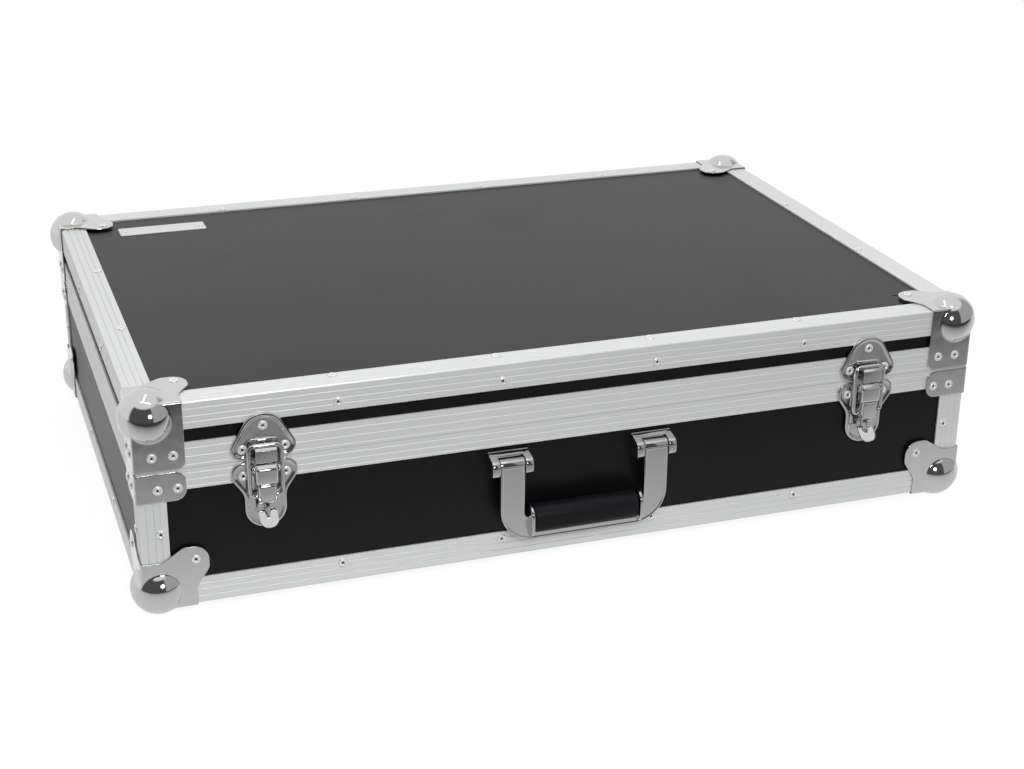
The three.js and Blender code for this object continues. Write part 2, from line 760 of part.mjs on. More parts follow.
// Latch plate on the base: two ears, cheeks that hold the lever's pin, and the padlock staple
function latchPlate() {
  const outline = symmetric([
    [latchPlateWidth / 2, -latchPlateFoot, latchPlateRound],
    [latchPlateWidth / 2, -latchWaistDrop, latchWaistRadius],
    [earSpan / 2, -earHeelDrop, earHeelRadius],
    [earSpan / 2, -earTopDrop, earRadius],
    [earGap / 2, -earTopDrop, earInnerRadius],
    [earGap / 2, -earSaddleDrop, earSaddleRadius],
  ]);
  const cheekShape = roundedOutline([
    [seatGap, -leverPinDrop - cheekRadius],
    [leverPinOut + cheekRadius, -leverPinDrop - cheekRadius, cheekRadius],
    [leverPinOut + cheekRadius, -leverPinDrop + cheekRadius, cheekRadius],
    [seatGap, -leverPinDrop + cheekRadius],
  ]);
  const cheekAt = leverUpperWidth / 2 + cheekGap + cheekSheet / 2;
  const cheeks = sideSection(cheekShape, cheekSheet, cheekAt)
    .add(sideSection(cheekShape, cheekSheet, -cheekAt));
  const pin = rodAlongX(leverPinRadius, -cheekAt, cheekAt, -leverPinOut, -leverPinDrop);
  const loop = (shrink) => sideSection(roundedOutline([
    [seatGap, -stapleDrop - stapleHalfHeight + shrink],
    [stapleReach - shrink, -stapleDrop - stapleHalfHeight + shrink, stapleRound - shrink],
    [stapleReach - shrink, -stapleDrop + stapleHalfHeight - shrink, stapleRound - shrink],
    [seatGap, -stapleDrop + stapleHalfHeight - shrink],
  ]), shrink ? staplePinch : stapleWidth);
  const staple = loop(0).subtract(loop(stapleWire));
  return rimmedPlate(outline, latchRimHeight).add(cheeks).add(pin).add(staple);
}

for (const [name, x] of [['left', -latchOffset], ['right', latchOffset]]) {
  const onBase = placed(base, { away: [x, -caseDepth / 2], turn: 0 }, partingHeight);
  piece(onBase, `latch_plate_${name}`, latchPlate(), nickel);
  piece(onBase, `latch_lever_${name}`, lever(), nickel);
  piece(onBase, `latch_bail_${name}`, bail(), nickel);
  const onLid = placed(lid, { away: [x, -caseDepth / 2], turn: 0 }, partingHeight);
  piece(onLid, `latch_keeper_${name}`, keeper(), nickel);
}

// Handle bracket: a back plate, two lugs whose tops slope down to the front, a web that follows
// their slope behind the barrel, and the pin
function handleBracket(middleX) {
  const half = armWidth / 2 + lugGap;
  const back = -boardInset + seatGap;
  const front = handlePinOut + lugFront;
  const plate = boxBetween(
    [middleX - half - lugWidth, -back, handlePinHeight - bracketFall],
    [middleX + half + lugWidth, -back - bracketPlate, handlePinHeight + bracketRise],
  );
  const lugShape = roundedOutline([
    [back, handlePinHeight - bracketFall],
    [front, handlePinHeight - bracketFall, lugRound],
    [front, handlePinHeight + lugFrontRise, lugRound],
    [back, handlePinHeight + bracketRise],
  ]);
  const lugAt = half + lugWidth / 2;
  const webFront = handlePinOut - bracketWebSetback;
  const slopeShare = (webFront - back) / (front - back);
  const webTop = handlePinHeight + THREE.MathUtils.lerp(bracketRise, lugFrontRise, slopeShare);
  const web = roundedOutline([
    [back, handlePinHeight + bracketRise - bracketWeb],
    [webFront, webTop - bracketWeb],
    [webFront, webTop],
    [back, handlePinHeight + bracketRise],
  ]);
  return plate.add(sideSection(web, 2 * lugAt, middleX))
    .add(sideSection(lugShape, lugWidth, middleX - lugAt))
    .add(sideSection(lugShape, lugWidth, middleX + lugAt))
    .add(rodAlongX(handlePinRadius, middleX - lugAt, middleX + lugAt, -handlePinOut, handlePinHeight));
}

// Handle bow: a flat strap cut to a U, its ends rolled back round the pins
function handleBow() {
  const outer = (handleSpan + armWidth) / 2;
  const inner = (handleSpan - armWidth) / 2;
  const foot = handlePinHeight - bowDrop;
  const strap = frontSheet(roundedOutline([
    [-outer, foot, bowRound],
    [outer, foot, bowRound],
    [outer, handlePinHeight],
    [inner, handlePinHeight],
    [inner, foot + armWidth, bowInnerRound],
    [-inner, foot + armWidth, bowInnerRound],
    [-inner, handlePinHeight],
    [-outer, handlePinHeight],
  ]), bowOut - bowThickness / 2, bowOut + bowThickness / 2);
  const bore = handlePinRadius + seatGap;
  const barrel = (from, to) => rodAlongX(handleBarrelRadius, from, to, -handlePinOut, handlePinHeight);
  const reach = outer + overrun;
  return strap.add(barrel(-outer, -inner)).add(barrel(inner, outer))
    .subtract(rodAlongX(bore, -reach, reach, -handlePinOut, handlePinHeight));
}

// Grip: a rounded bar slotted from below over the bow's lower strap
function handleGrip() {
  const foot = handlePinHeight - bowDrop + gripLift;
  const barTop = handlePinHeight - bowDrop + armWidth;
  const [rear, front] = [bowOut - gripDepth / 2, bowOut + gripDepth / 2];
  const bar = sideSection(roundedOutline([
    [rear, foot, gripRound],
    [front, foot, gripRound],
    [front, foot + gripHeight, gripRound],
    [rear, foot + gripHeight, gripRound],
  ]), gripLength);
  const slot = bowThickness / 2 + seatGap;
  return bar.subtract(boxBetween(
    [-gripLength, -bowOut - slot, foot - overrun],
    [gripLength, -bowOut + slot, barTop + seatGap],
  ));
}

const handle = placed(base, sides[0]);
piece(handle, 'handle_bracket_left', handleBracket(-handleSpan / 2), chrome);
piece(handle, 'handle_bracket_right', handleBracket(handleSpan / 2), chrome);
piece(handle, 'handle_bow', handleBow(), chrome);
piece(handle, 'handle_grip', handleGrip(), rubber);

// Hinge leaves: the base leaf carries the outer knuckles and the pin, the lid leaf the middle knuckle
const knuckleHalf = hingeWidth / 6;

function baseLeaf() {
  const saddle = hingeHeight - hingeKnuckleRadius - seatGap;
  const sheet = frontSheet(roundedOutline(symmetric([
    [hingeWidth / 2, hingeHeight - hingeLeafDrop, hingeCornerRound],
    [hingeWidth / 2, hingeHeight],
    [knuckleHalf + seatGap, hingeHeight],
    [knuckleHalf + seatGap, saddle],
  ])), seatGap, seatGap + hingeSheet);
  const knuckle = (from, to, radius) => rodAlongX(radius, from, to, -hingePinOut, hingeHeight);
  const [near, far] = [knuckleHalf + seatGap, hingeWidth / 2];
  return sheet.add(knuckle(-far, -near, hingeKnuckleRadius)).add(knuckle(near, far, hingeKnuckleRadius))
    .add(knuckle(-far, far, hingePinRadius));
}

function lidLeaf() {
  const foot = hingeHeight + hingeKnuckleRadius + seatGap;
  const sheet = frontSheet(roundedOutline(symmetric([
    [knuckleHalf - seatGap, hingeHeight],
    [knuckleHalf - seatGap, foot],
    [hingeWidth / 2, foot],
    [hingeWidth / 2, hingeHeight + hingeLeafRise, hingeCornerRound],
  ])), seatGap, seatGap + hingeSheet);
  const [from, to] = [-knuckleHalf + seatGap, knuckleHalf - seatGap];
  const bore = rodAlongX(hingePinRadius + seatGap, -hingeWidth, hingeWidth, -hingePinOut, hingeHeight);
  return sheet.add(rodAlongX(hingeKnuckleRadius, from, to, -hingePinOut, hingeHeight)).subtract(bore);
}

for (const [name, x] of [['left', -hingeOffset], ['right', hingeOffset]]) {
  const place = { away: [x, caseDepth / 2], turn: Math.PI };
  piece(placed(base, place), `hinge_leaf_base_${name}`, baseLeaf(), nickel);
  piece(placed(lid, place), `hinge_leaf_lid_${name}`, lidLeaf(), nickel);
}

export default flightCase;
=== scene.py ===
"""Looks of the flight case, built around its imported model.

Lengths are in millimetres in the row frame, and MM turns them into metres. A place is the matrix
that carries a piece there from the axes it is drawn on.
"""

import math

import bmesh
import bpy
from mathutils import Matrix, Vector

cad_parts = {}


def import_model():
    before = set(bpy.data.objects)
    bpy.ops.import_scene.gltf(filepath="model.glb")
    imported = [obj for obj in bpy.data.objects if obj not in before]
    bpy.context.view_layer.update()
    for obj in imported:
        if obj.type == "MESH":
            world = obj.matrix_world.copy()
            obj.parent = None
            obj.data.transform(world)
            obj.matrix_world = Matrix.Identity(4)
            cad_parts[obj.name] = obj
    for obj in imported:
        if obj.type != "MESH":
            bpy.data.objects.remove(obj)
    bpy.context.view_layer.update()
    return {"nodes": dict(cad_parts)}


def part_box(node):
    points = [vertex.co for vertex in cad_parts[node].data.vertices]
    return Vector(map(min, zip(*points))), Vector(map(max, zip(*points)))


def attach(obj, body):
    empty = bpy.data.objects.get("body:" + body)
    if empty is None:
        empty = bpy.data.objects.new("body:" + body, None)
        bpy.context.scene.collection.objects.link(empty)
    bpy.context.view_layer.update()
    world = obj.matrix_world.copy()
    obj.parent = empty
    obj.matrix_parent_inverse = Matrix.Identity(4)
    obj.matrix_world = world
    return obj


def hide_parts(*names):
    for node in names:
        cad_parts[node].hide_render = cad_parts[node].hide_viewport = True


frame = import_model()

MM = 0.001

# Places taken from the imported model


def node_low(name):
    return [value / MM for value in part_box(name)[0]]


def node_high(name):
    return [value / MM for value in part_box(name)[1]]


def middle_across(name):
    return (node_low(name)[0] + node_high(name)[0]) / 2


SIDES = ("left", "right")
SEAT_GAP = 0.3  # the air under a fitting
CASE_LEFT, CASE_RIGHT = node_low("edge_bottom_left")[0], node_high("edge_bottom_right")[0]
CASE_FRONT, CASE_BACK = node_low("edge_bottom_front")[1], node_high("edge_bottom_back")[1]
CASE_FOOT, CASE_TOP = node_low("edge_bottom_front")[2], node_high("edge_top_front")[2]
PARTING = node_low("closure_lid_front")[2] - SEAT_GAP
LID_BOARD = node_high("lid_top_panel")[2]
LATCH_PLACES = {side: middle_across(f"latch_plate_{side}") for side in SIDES}
HINGE_PLACES = {side: middle_across(f"hinge_leaf_lid_{side}") for side in SIDES}

# Sizes that the pieces share with the model
SHEET = 1.2
FOLD = PLATE_FACE = SEAT_GAP + SHEET  # how far the outer face of pressed sheet stands off the case
BALL_RADIUS, BALL_INSET = 21.7, 13.0
# Faces of the ball corners: their reach along the folds, then the rounds of their outline, and
# where along their sides the neck and the heel of the lobe lie
BASE_REACH, BASE_RISE = 41.0, 39.5
LID_REACH, LID_LIFT, LID_ROUND = 38.0, 0.8, 6.0
NOSE, OVERHANG, LOBE, HEEL, NECK = 2.0, 10.3, 12.0, 8.0, 10.0
NECK_SHARE, HEEL_SHARE = 0.38, 0.77
BRACE_REACH, BRACE_HEIGHT, BRACE_DROP, BRACE_ROUND = 37.6, 24.0, 0.8, 9.0
# The lever's pin and the bail's wire, then the handle's pins and bow, and the hinge's pin
PIN_OUT, PIN_DROP, PIN_RADIUS = 8.0, 4.7, 1.5
WIRE_RADIUS = 1.7
HANDLE_SPAN, HANDLE_OUT, HANDLE_ARM, HANDLE_BARREL = 123.0, 9.6, 20.2, 5.2
BOW_DROP, BOW_HALF_THICKNESS = 64.0, 2.0
BOW_OUT = HANDLE_OUT + HANDLE_BARREL - BOW_HALF_THICKNESS
HANDLE_PIN = node_low("handle_bow")[2] + BOW_DROP
HINGE_OUT, HINGE_RISE = 4.2, 3.0

# Meshes

WELD, FOAM_WELD = 0.004, 0.01  # points closer than this are one
LEAST_EDGE = 0.003  # shorter edges of a corner are taken out
FLAT_WITHIN = 0.02  # faces of the foam that turn by less than this are one


def rounded(corners, inset=0.0, facet=math.radians(8)):
    """Closed outline through corners (x, y, radius), anticlockwise, drawn in by an inset."""
    points = []
    for i, corner in enumerate(corners):
        radius = corner[2] if len(corner) > 2 else 0.0
        here = Vector(corner[:2])
        back = (Vector(corners[i - 1][:2]) - here).normalized()
        ahead = (Vector(corners[(i + 1) % len(corners)][:2]) - here).normalized()
        inner = (back + ahead).normalized()
        half = back.angle(ahead) / 2
        side = 1 if back.x * ahead.y - back.y * ahead.x < 0 else -1
        start = here + inner * (side * inset / math.sin(half))
        if radius == 0:
            points.append(start)
            continue
        turn = max(radius - side * inset, 0.0)
        centre = start + inner * (turn / math.sin(half))
        sweep = math.pi - 2 * half
        steps = max(1, math.ceil(sweep / facet))
        middle = math.atan2(-inner.y, -inner.x)
        for k in range(steps + 1):
            angle = middle + side * sweep * (k / steps - 0.5)
            points.append(centre + Vector((math.cos(angle), math.sin(angle))) * turn)
    return points


def symmetric(half):
    """An outline from its right half, which starts at the foot."""
    return list(half) + [(-corner[0], *corner[1:]) for corner in reversed(half)]


def box_outline(low_x, low_y, high_x, high_y, radius=0.0):
    return [
        (low_x, low_y, radius), (high_x, low_y, radius),
        (high_x, high_y, radius), (low_x, high_y, radius),
    ]


def new_object(name, mesh):
    obj = bpy.data.objects.new(name.replace(" ", "_"), mesh)
    bpy.context.collection.objects.link(obj)
    return obj


def mesh_from(name, points, faces, outward=True):
    """A mesh with its doubles merged. A closed one gets its faces turned out."""
    mesh = bpy.data.meshes.new(name)
    mesh.from_pydata([Vector(point) * MM for point in points], [], faces)
    work = bmesh.new()
    work.from_mesh(mesh)
    bmesh.ops.remove_doubles(work, verts=work.verts, dist=WELD * MM)
    if outward:
        bmesh.ops.recalc_face_normals(work, faces=work.faces)
    work.to_mesh(mesh)
    work.free()
    return new_object(name, mesh)


def sheet_faces(lines, count, start=0):
    """Faces of an open sheet, between neighbouring lines of equally many points."""
    faces = []
    for line in range(lines - 1):
        for k in range(count - 1):
            a = start + line * count + k
            faces.append((a, a + 1, a + count + 1, a + count))
    return faces


def loft(name, rings, place):
    """A closed solid through rings of equally many points, capped at both ends."""
    count = len(rings[0])
    points = [place @ Vector(point) for ring in rings for point in ring]
    faces = []
    for row in range(len(rings) - 1):
        low, high = row * count, (row + 1) * count
        for k in range(count):
            after = (k + 1) % count
            faces.append((low + k, low + after, high + after, high + k))
    faces.append(tuple(reversed(range(count))))
    faces.append(tuple(range((len(rings) - 1) * count, len(rings) * count)))
    return mesh_from(name, points, faces)


def stacked(name, corners, steps, place):
    """A solid over an outline, through steps (inset, height above the outline's plane)."""
    rings = [[(*point, height) for point in rounded(corners, inset)] for inset, height in steps]
    return loft(name, rings, place)


def edge_steps(near, far, edge, back_edge=0.0, count=4):
    """Steps of a plate with its far edge rounded, and its near one where it has a radius."""
    steps = []
    for k in range(count):
        angle = math.pi / 2 * k / (count - 1)
        steps.append((edge * (1 - math.cos(angle)), far - edge * (1 - math.sin(angle))))
    if not back_edge:
        return [(0.0, near)] + steps
    back = []
    for k in range(count):
        angle = math.pi / 2 * k / (count - 1)
        inset = back_edge * (1 - math.sin(angle))
        back.append((inset, near + back_edge * (1 - math.cos(angle))))
    return back + steps


def slab(name, corners, near, far, place, edge, back_edge=0.0):
    """A plate of an outline, from one height to another, with its edges rounded."""
    return stacked(name, corners, edge_steps(near, far, edge, back_edge), place)


def rod(name, radius, from_x, to_x, place, edge=0.3, sides=28):
    """A round bar along the first axis of a place, with rounded ends."""
    rings = []
    for inset, along in edge_steps(from_x, to_x, edge, edge):
        ring = []
        for k in range(sides):
            angle = 2 * math.pi * k / sides
            reach = radius - inset
            ring.append((along, reach * math.cos(angle), reach * math.sin(angle)))
        rings.append(ring)
    return loft(name, rings, place)


def place(origin, across=(1, 0, 0), up=(0, 0, 1), out=(0, -1, 0)):
    """The matrix that carries (across, up, out) to the row frame."""
    matrix = Matrix((across, up, out)).transposed().to_4x4()
    matrix.translation = Vector(origin)
    return matrix


def side_place(origin):
    """Carries (out, up, along x) to the row frame, for pieces drawn as seen from the side."""
    return place(origin, (0, -1, 0), (0, 0, 1), (1, 0, 0))


def joined(name, parts, cuts=()):
    """Unites solids, then cuts others out of them."""
    whole = parts[0]
    tools = [(tool, "UNION") for tool in parts[1:]] + [(tool, "DIFFERENCE") for tool in cuts]
    for tool, operation in tools:
        modifier = whole.modifiers.new(tool.name, "BOOLEAN")
        modifier.operation = operation
        modifier.solver = "MANIFOLD"
        modifier.object = tool
    return plain(name, whole, [tool for tool, _ in tools])


def plain(name, obj, used=()):
    """Turns an object with modifiers into one plain mesh and removes what it was made from."""
    depsgraph = bpy.context.evaluated_depsgraph_get()
    mesh = bpy.data.meshes.new_from_object(obj.evaluated_get(depsgraph))
    for old in [obj, *used]:
        bpy.data.objects.remove(old)
    if not mesh.polygons:
        raise ValueError(f"{name} came out empty")
    mesh.name = name
    return new_object(name, mesh)


def thickened(name, obj, thickness, even=True):
    """Gives an open sheet its wall, on the side away from its faces."""
    modifier = obj.modifiers.new("wall", "SOLIDIFY")
    modifier.thickness = thickness * MM
    modifier.offset = -1
    modifier.use_even_offset = even
    return plain(name, obj)


def softened(obj, width, segments=2, angle=40):
    """Rounds the edges that turn by more than an angle in degrees."""
    modifier = obj.modifiers.new("soft edges", "BEVEL")
    modifier.width = width * MM
    modifier.segments = segments
    modifier.limit_method = "ANGLE"
    modifier.angle_limit = math.radians(angle)
    return plain(obj.name, obj)


def finished(obj, material, body, slot, *nodes, sharp=35):
    """Gives a piece its finish and its body; its slot is not used. It takes the place of the nodes
    named.
    """
    if not obj.data.materials:
        obj.data.materials.append(material)
    else:
        obj.data.materials[0] = material
    obj.data.shade_smooth()
    obj.data.set_sharp_from_angle(angle=math.radians(sharp))
    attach(obj, body)
    if nodes:
        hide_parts(*nodes)
    return obj


# Node trees


def node_maker(tree):
    """A function that adds a node with its settings, and links or sets its inputs."""

    def make(kind, settings=(), inputs=()):
        node = tree.nodes.new(kind)
        for key, value in dict(settings).items():
            setattr(node, key, value)
        for key, value in dict(inputs).items():
            if isinstance(value, bpy.types.NodeSocket):
                tree.links.new(value, node.inputs[key])
            else:
                node.inputs[key].default_value = value
        return node

    return make


def reckoned(make, operation, *values):
    """The result of a Math node on its values."""
    return make("ShaderNodeMath", {"operation": operation}, dict(enumerate(values))).outputs[0]


def geometry_tree(name, inputs):
    tree = bpy.data.node_groups.new(name, "GeometryNodeTree")
    tree.is_modifier = True
    tree.interface.new_socket("Geometry", in_out="INPUT", socket_type="NodeSocketGeometry")
    for label, kind in inputs:
        tree.interface.new_socket(label, in_out="INPUT", socket_type=kind)
    tree.interface.new_socket("Geometry", in_out="OUTPUT", socket_type="NodeSocketGeometry")
    return tree, tree.nodes.new("NodeGroupInput"), tree.nodes.new("NodeGroupOutput")


def grown(name, obj, tree, values):
    """Runs a tree over an object and keeps the result as one plain mesh."""
    modifier = obj.modifiers.new(tree.name, "NODES")
    modifier.node_group = tree
    for item in tree.interface.items_tree:
        if item.in_out == "INPUT" and item.name in values:
            modifier[item.identifier] = values[item.name]
    return plain(name, obj)


DOME_SIDES = 8
BORE_FLOOR = 0.3
WIRE_SIDES, BAIL_SIDES = 16, 18


def rivet_tree():
    """A domed blind rivet with an open bore on each point, turned to the point's facing. The disc
    at the bore's floor gets a near-black finish: painted shade for the depth of the hole.
    """
    tree, given, result = geometry_tree("blind rivets", [
        ("Head Radius", "NodeSocketFloat"), ("Bore Radius", "NodeSocketFloat"),
        ("Head Height", "NodeSocketFloat"), ("Sides", "NodeSocketInt"),
        ("Head Finish", "NodeSocketMaterial"), ("Bore Shade Finish", "NodeSocketMaterial"),
    ])
    make = node_maker(tree)
    head, bore = given.outputs["Head Radius"], given.outputs["Bore Radius"]
    middle = reckoned(make, "MULTIPLY", reckoned(make, "ADD", head, bore), 0.5)
    half = reckoned(make, "MULTIPLY", reckoned(make, "SUBTRACT", head, bore), 0.5)
    flat = reckoned(make, "DIVIDE", given.outputs["Head Height"], half)
    path = make("GeometryNodeCurvePrimitiveCircle", (), {
        "Resolution": given.outputs["Sides"], "Radius": middle})
    profile = make("GeometryNodeCurvePrimitiveCircle", (), {
        "Resolution": DOME_SIDES, "Radius": half})
    ring = make("GeometryNodeCurveToMesh", (), {
        "Curve": path.outputs[0], "Profile Curve": profile.outputs[0]})
    scale = make("ShaderNodeCombineXYZ", (), {"X": 1.0, "Y": 1.0, "Z": flat})
    dome = make("GeometryNodeTransform", (), {
        "Geometry": ring.outputs[0], "Scale": scale.outputs[0]})
    floor_disc = make("GeometryNodeMeshCylinder", {"fill_type": "NGON"}, {
        "Vertices": given.outputs["Sides"], "Radius": middle, "Depth": BORE_FLOOR * MM})
    marked = make("GeometryNodeStoreNamedAttribute", {"data_type": "BOOLEAN", "domain": "FACE"}, {
        "Geometry": floor_disc.outputs[0], "Name": "bore", "Value": True})
    rivet = make("GeometryNodeJoinGeometry")
    tree.links.new(dome.outputs[0], rivet.inputs[0])
    tree.links.new(marked.outputs[0], rivet.inputs[0])
    facing = make("GeometryNodeInputNamedAttribute", {"data_type": "FLOAT_VECTOR"}, {
        "Name": "facing"})
    turned = make("FunctionNodeAlignRotationToVector", {"axis": "Z"}, {
        "Vector": facing.outputs[0]})
    placed = make("GeometryNodeInstanceOnPoints", (), {
        "Points": given.outputs["Geometry"], "Instance": rivet.outputs[0],
        "Rotation": turned.outputs[0]})
    real = make("GeometryNodeRealizeInstances", (), {"Geometry": placed.outputs[0]})
    heads = make("GeometryNodeSetMaterial", (), {
        "Geometry": real.outputs[0], "Material": given.outputs["Head Finish"]})
    # The faces of the bore's floor disc, which take the painted shade of the hole
    in_bore_shade = make("GeometryNodeInputNamedAttribute", {"data_type": "BOOLEAN"}, {"Name": "bore"})
    shaded_bores = make("GeometryNodeSetMaterial", (), {
        "Geometry": heads.outputs[0], "Selection": in_bore_shade.outputs[0],
        "Material": given.outputs["Bore Shade Finish"]})
    tree.links.new(shaded_bores.outputs[0], result.inputs[0])
    return tree


def wire_tree():
    """A round wire along the edges of a path, closed at its ends."""
    tree, given, result = geometry_tree("bent wire", [
        ("Wire Radius", "NodeSocketFloat"), ("Sides", "NodeSocketInt"),
        ("Finish", "NodeSocketMaterial"),
    ])
    make = node_maker(tree)
    path = make("GeometryNodeMeshToCurve", (), {"Mesh": given.outputs["Geometry"]})
    profile = make("GeometryNodeCurvePrimitiveCircle", (), {
        "Resolution": given.outputs["Sides"], "Radius": given.outputs["Wire Radius"]})
    wire = make("GeometryNodeCurveToMesh", (), {
        "Curve": path.outputs[0], "Profile Curve": profile.outputs[0], "Fill Caps": True})
    real = make("GeometryNodeRealizeInstances", (), {"Geometry": wire.outputs[0]})
    painted = make("GeometryNodeSetMaterial", (), {
        "Geometry": real.outputs[0], "Material": given.outputs["Finish"]})
    tree.links.new(painted.outputs[0], result.inputs[0])
    return tree


def bent_wire(name, points, radius, material, sides=WIRE_SIDES):
    mesh = bpy.data.meshes.new(name)
    edges = [(k, k + 1) for k in range(len(points) - 1)]
    mesh.from_pydata([Vector(point) * MM for point in points], edges, [])
    path = new_object(name, mesh)
    values = {"Wire Radius": radius * MM, "Sides": sides, "Finish": material}
    return grown(name, path, WIRES, values)


# Finishes


def shader_group(name, inputs, output):
    """A group with inputs (label, kind, value) and one number that it puts out."""
    tree = bpy.data.node_groups.new(name, "ShaderNodeTree")
    for label, kind, value in inputs:
        socket = tree.interface.new_socket(label, in_out="INPUT", socket_type=kind)
        if value is not None:
            socket.default_value = value
    tree.interface.new_socket(output, in_out="OUTPUT", socket_type="NodeSocketFloat")
    return tree, tree.nodes.new("NodeGroupInput"), tree.nodes.new("NodeGroupOutput")


def grain_group():
    """Fine streaks drawn out along the directions in which Stretch is small."""
    tree, given, result = shader_group("drawn grain", [
        ("Vector", "NodeSocketVector", None), ("Stretch", "NodeSocketVector", (1.0, 1.0, 1.0)),
        ("Scale", "NodeSocketFloat", 400.0)], "Streaks")
    make = node_maker(tree)
    drawn = make("ShaderNodeVectorMath", {"operation": "MULTIPLY"}, {
        0: given.outputs["Vector"], 1: given.outputs["Stretch"]})
    noise = make("ShaderNodeTexNoise", {"noise_dimensions": "3D"}, {
        "Vector": drawn.outputs[0], "Scale": given.outputs["Scale"],
        "Detail": 4.0, "Roughness": 0.6})
    tree.links.new(noise.outputs[0], result.inputs["Streaks"])
    return tree


def wave_group():
    """The slow waves that pressing leaves in bright sheet."""
    tree, given, result = shader_group("pressed waves", [
        ("Vector", "NodeSocketVector", None), ("Scale", "NodeSocketFloat", 60.0)], "Height")
    make = node_maker(tree)
    noise = make("ShaderNodeTexNoise", {"noise_dimensions": "3D"}, {
        "Vector": given.outputs["Vector"], "Scale": given.outputs["Scale"],
        "Detail": 1.0, "Roughness": 0.4})
    tree.links.new(noise.outputs[0], result.inputs["Height"])
    return tree


def smudge_group():
    """Broad soft marks of handling, from 0 to 1, more of them as Amount rises."""
    tree, given, result = shader_group("handling marks", [
        ("Vector", "NodeSocketVector", None), ("Scale", "NodeSocketFloat", 14.0),
        ("Amount", "NodeSocketFloat", 0.5)], "Marks")
    make = node_maker(tree)
    noise = make("ShaderNodeTexNoise", {"noise_dimensions": "3D"}, {
        "Vector": given.outputs["Vector"], "Scale": given.outputs["Scale"],
        "Detail": 6.0, "Roughness": 0.55, "Distortion": 0.4})
    lifted = reckoned(make, "ADD", noise.outputs[0], given.outputs["Amount"])
    marks = make("ShaderNodeMapRange", {"interpolation_type": "SMOOTHSTEP"}, {
        "Value": lifted, "From Min": 0.85, "From Max": 1.25})
    tree.links.new(marks.outputs[0], result.inputs["Marks"])
    return tree


def finish(name, shader_values):
    """A new material, its tree, its shader, a node maker for it and the piece's own coordinates."""
    material = bpy.data.materials.new(name)
    material.use_nodes = True
    tree = material.node_tree
    shader = tree.nodes["Principled BSDF"]
    for key, value in shader_values.items():
        shader.inputs[key].default_value = value
    make = node_maker(tree)
    spot = make("ShaderNodeTexCoord").outputs["Object"]
    return material, tree, shader, make, spot


def use_group(make, group, inputs):
    return make("ShaderNodeGroup", {"node_tree": group}, inputs).outputs[0]


def ranged(make, value, low, high):
    """A value from 0 to 1 spread between two others."""
    return make("ShaderNodeMapRange", (), {
        "Value": value, "To Min": low, "To Max": high}).outputs[0]


def blended(make, factor, low, high):
    """A colour between two others."""
    mix = make("ShaderNodeMix", {"data_type": "RGBA"}, {
        "Factor": factor, "A": (*low, 1), "B": (*high, 1)})
    return mix.outputs["Result"]


EVENLY = (1.0, 1.0, 1.0)
MARKS_SCALE, WAVES_SCALE = 16.0, 60.0
ROUGHNESS_SPREAD = 0.06


def metal(name, low, high, rough, stretch=EVENLY, grain_scale=520.0, bump=0.015, marks=0.3,
          metallic=1.0, waves=0.0):
    """A metal whose colour and roughness wander a little along its grain and with handling."""
    material, tree, shader, make, spot = finish(name, {"Metallic": metallic})
    streaks = use_group(make, GRAIN, {"Vector": spot, "Stretch": stretch, "Scale": grain_scale})
    smudges = use_group(make, MARKS, {"Vector": spot, "Scale": MARKS_SCALE, "Amount": marks})
    tree.links.new(blended(make, streaks, low, high), shader.inputs["Base Color"])
    worn = reckoned(make, "MULTIPLY", smudges, 0.5)
    total = reckoned(make, "MULTIPLY_ADD", streaks, 0.5, worn)
    tree.links.new(ranged(make, total, *rough), shader.inputs["Roughness"])
    swell = use_group(make, WAVES, {"Vector": spot, "Scale": WAVES_SCALE})
    slow = reckoned(make, "MULTIPLY", swell, waves)
    height = reckoned(make, "MULTIPLY_ADD", streaks, bump, slow)
    relief = make("ShaderNodeBump", (), {"Strength": 1.0, "Distance": MM, "Height": height})
    tree.links.new(relief.outputs[0], shader.inputs["Normal"])
    return material


def board_finish():
    """Black laminate with a fine hard grain, a few tiny dimples and soft marks."""
    material, tree, shader, make, spot = finish("black laminate", {"Specular IOR Level": 0.26})
    marks = use_group(make, MARKS, {"Vector": spot, "Scale": 9.0, "Amount": 0.42})
    grain = use_group(make, GRAIN, {"Vector": spot, "Stretch": EVENLY, "Scale": 900.0})
    colour = blended(make, marks, (0.0018, 0.0019, 0.0021), (0.003, 0.0032, 0.0035))
    tree.links.new(colour, shader.inputs["Base Color"])
    tree.links.new(ranged(make, marks, 0.39, 0.42), shader.inputs["Roughness"])
    dimples = make("ShaderNodeTexVoronoi", (), {"Vector": spot, "Scale": 55.0, "Randomness": 1.0})
    pit = make("ShaderNodeMapRange", {"interpolation_type": "SMOOTHSTEP"}, {
        "Value": dimples.outputs["Distance"], "From Min": 0.03, "From Max": 0.09})
    height = reckoned(make, "MULTIPLY_ADD", grain, 0.35, pit.outputs[0])
    relief = make("ShaderNodeBump", (), {
        "Strength": 0.25, "Distance": 0.06 * MM, "Height": height})
    tree.links.new(relief.outputs[0], shader.inputs["Normal"])
    return material


def soft_finish(name, low, high, rough, scale, relief_depth, shine=0.3):
    """Foam or moulded rubber: a dull colour with a fine open grain."""
    material, tree, shader, make, spot = finish(name, {"Specular IOR Level": shine})
    grain = use_group(make, GRAIN, {"Vector": spot, "Stretch": EVENLY, "Scale": scale})
    tree.links.new(blended(make, grain, low, high), shader.inputs["Base Color"])
    low_rough, high_rough = rough - ROUGHNESS_SPREAD, rough + ROUGHNESS_SPREAD
    tree.links.new(ranged(make, grain, low_rough, high_rough), shader.inputs["Roughness"])
    relief = make("ShaderNodeBump", (), {
        "Strength": 0.6, "Distance": relief_depth * MM, "Height": grain})
    tree.links.new(relief.outputs[0], shader.inputs["Normal"])
    return material


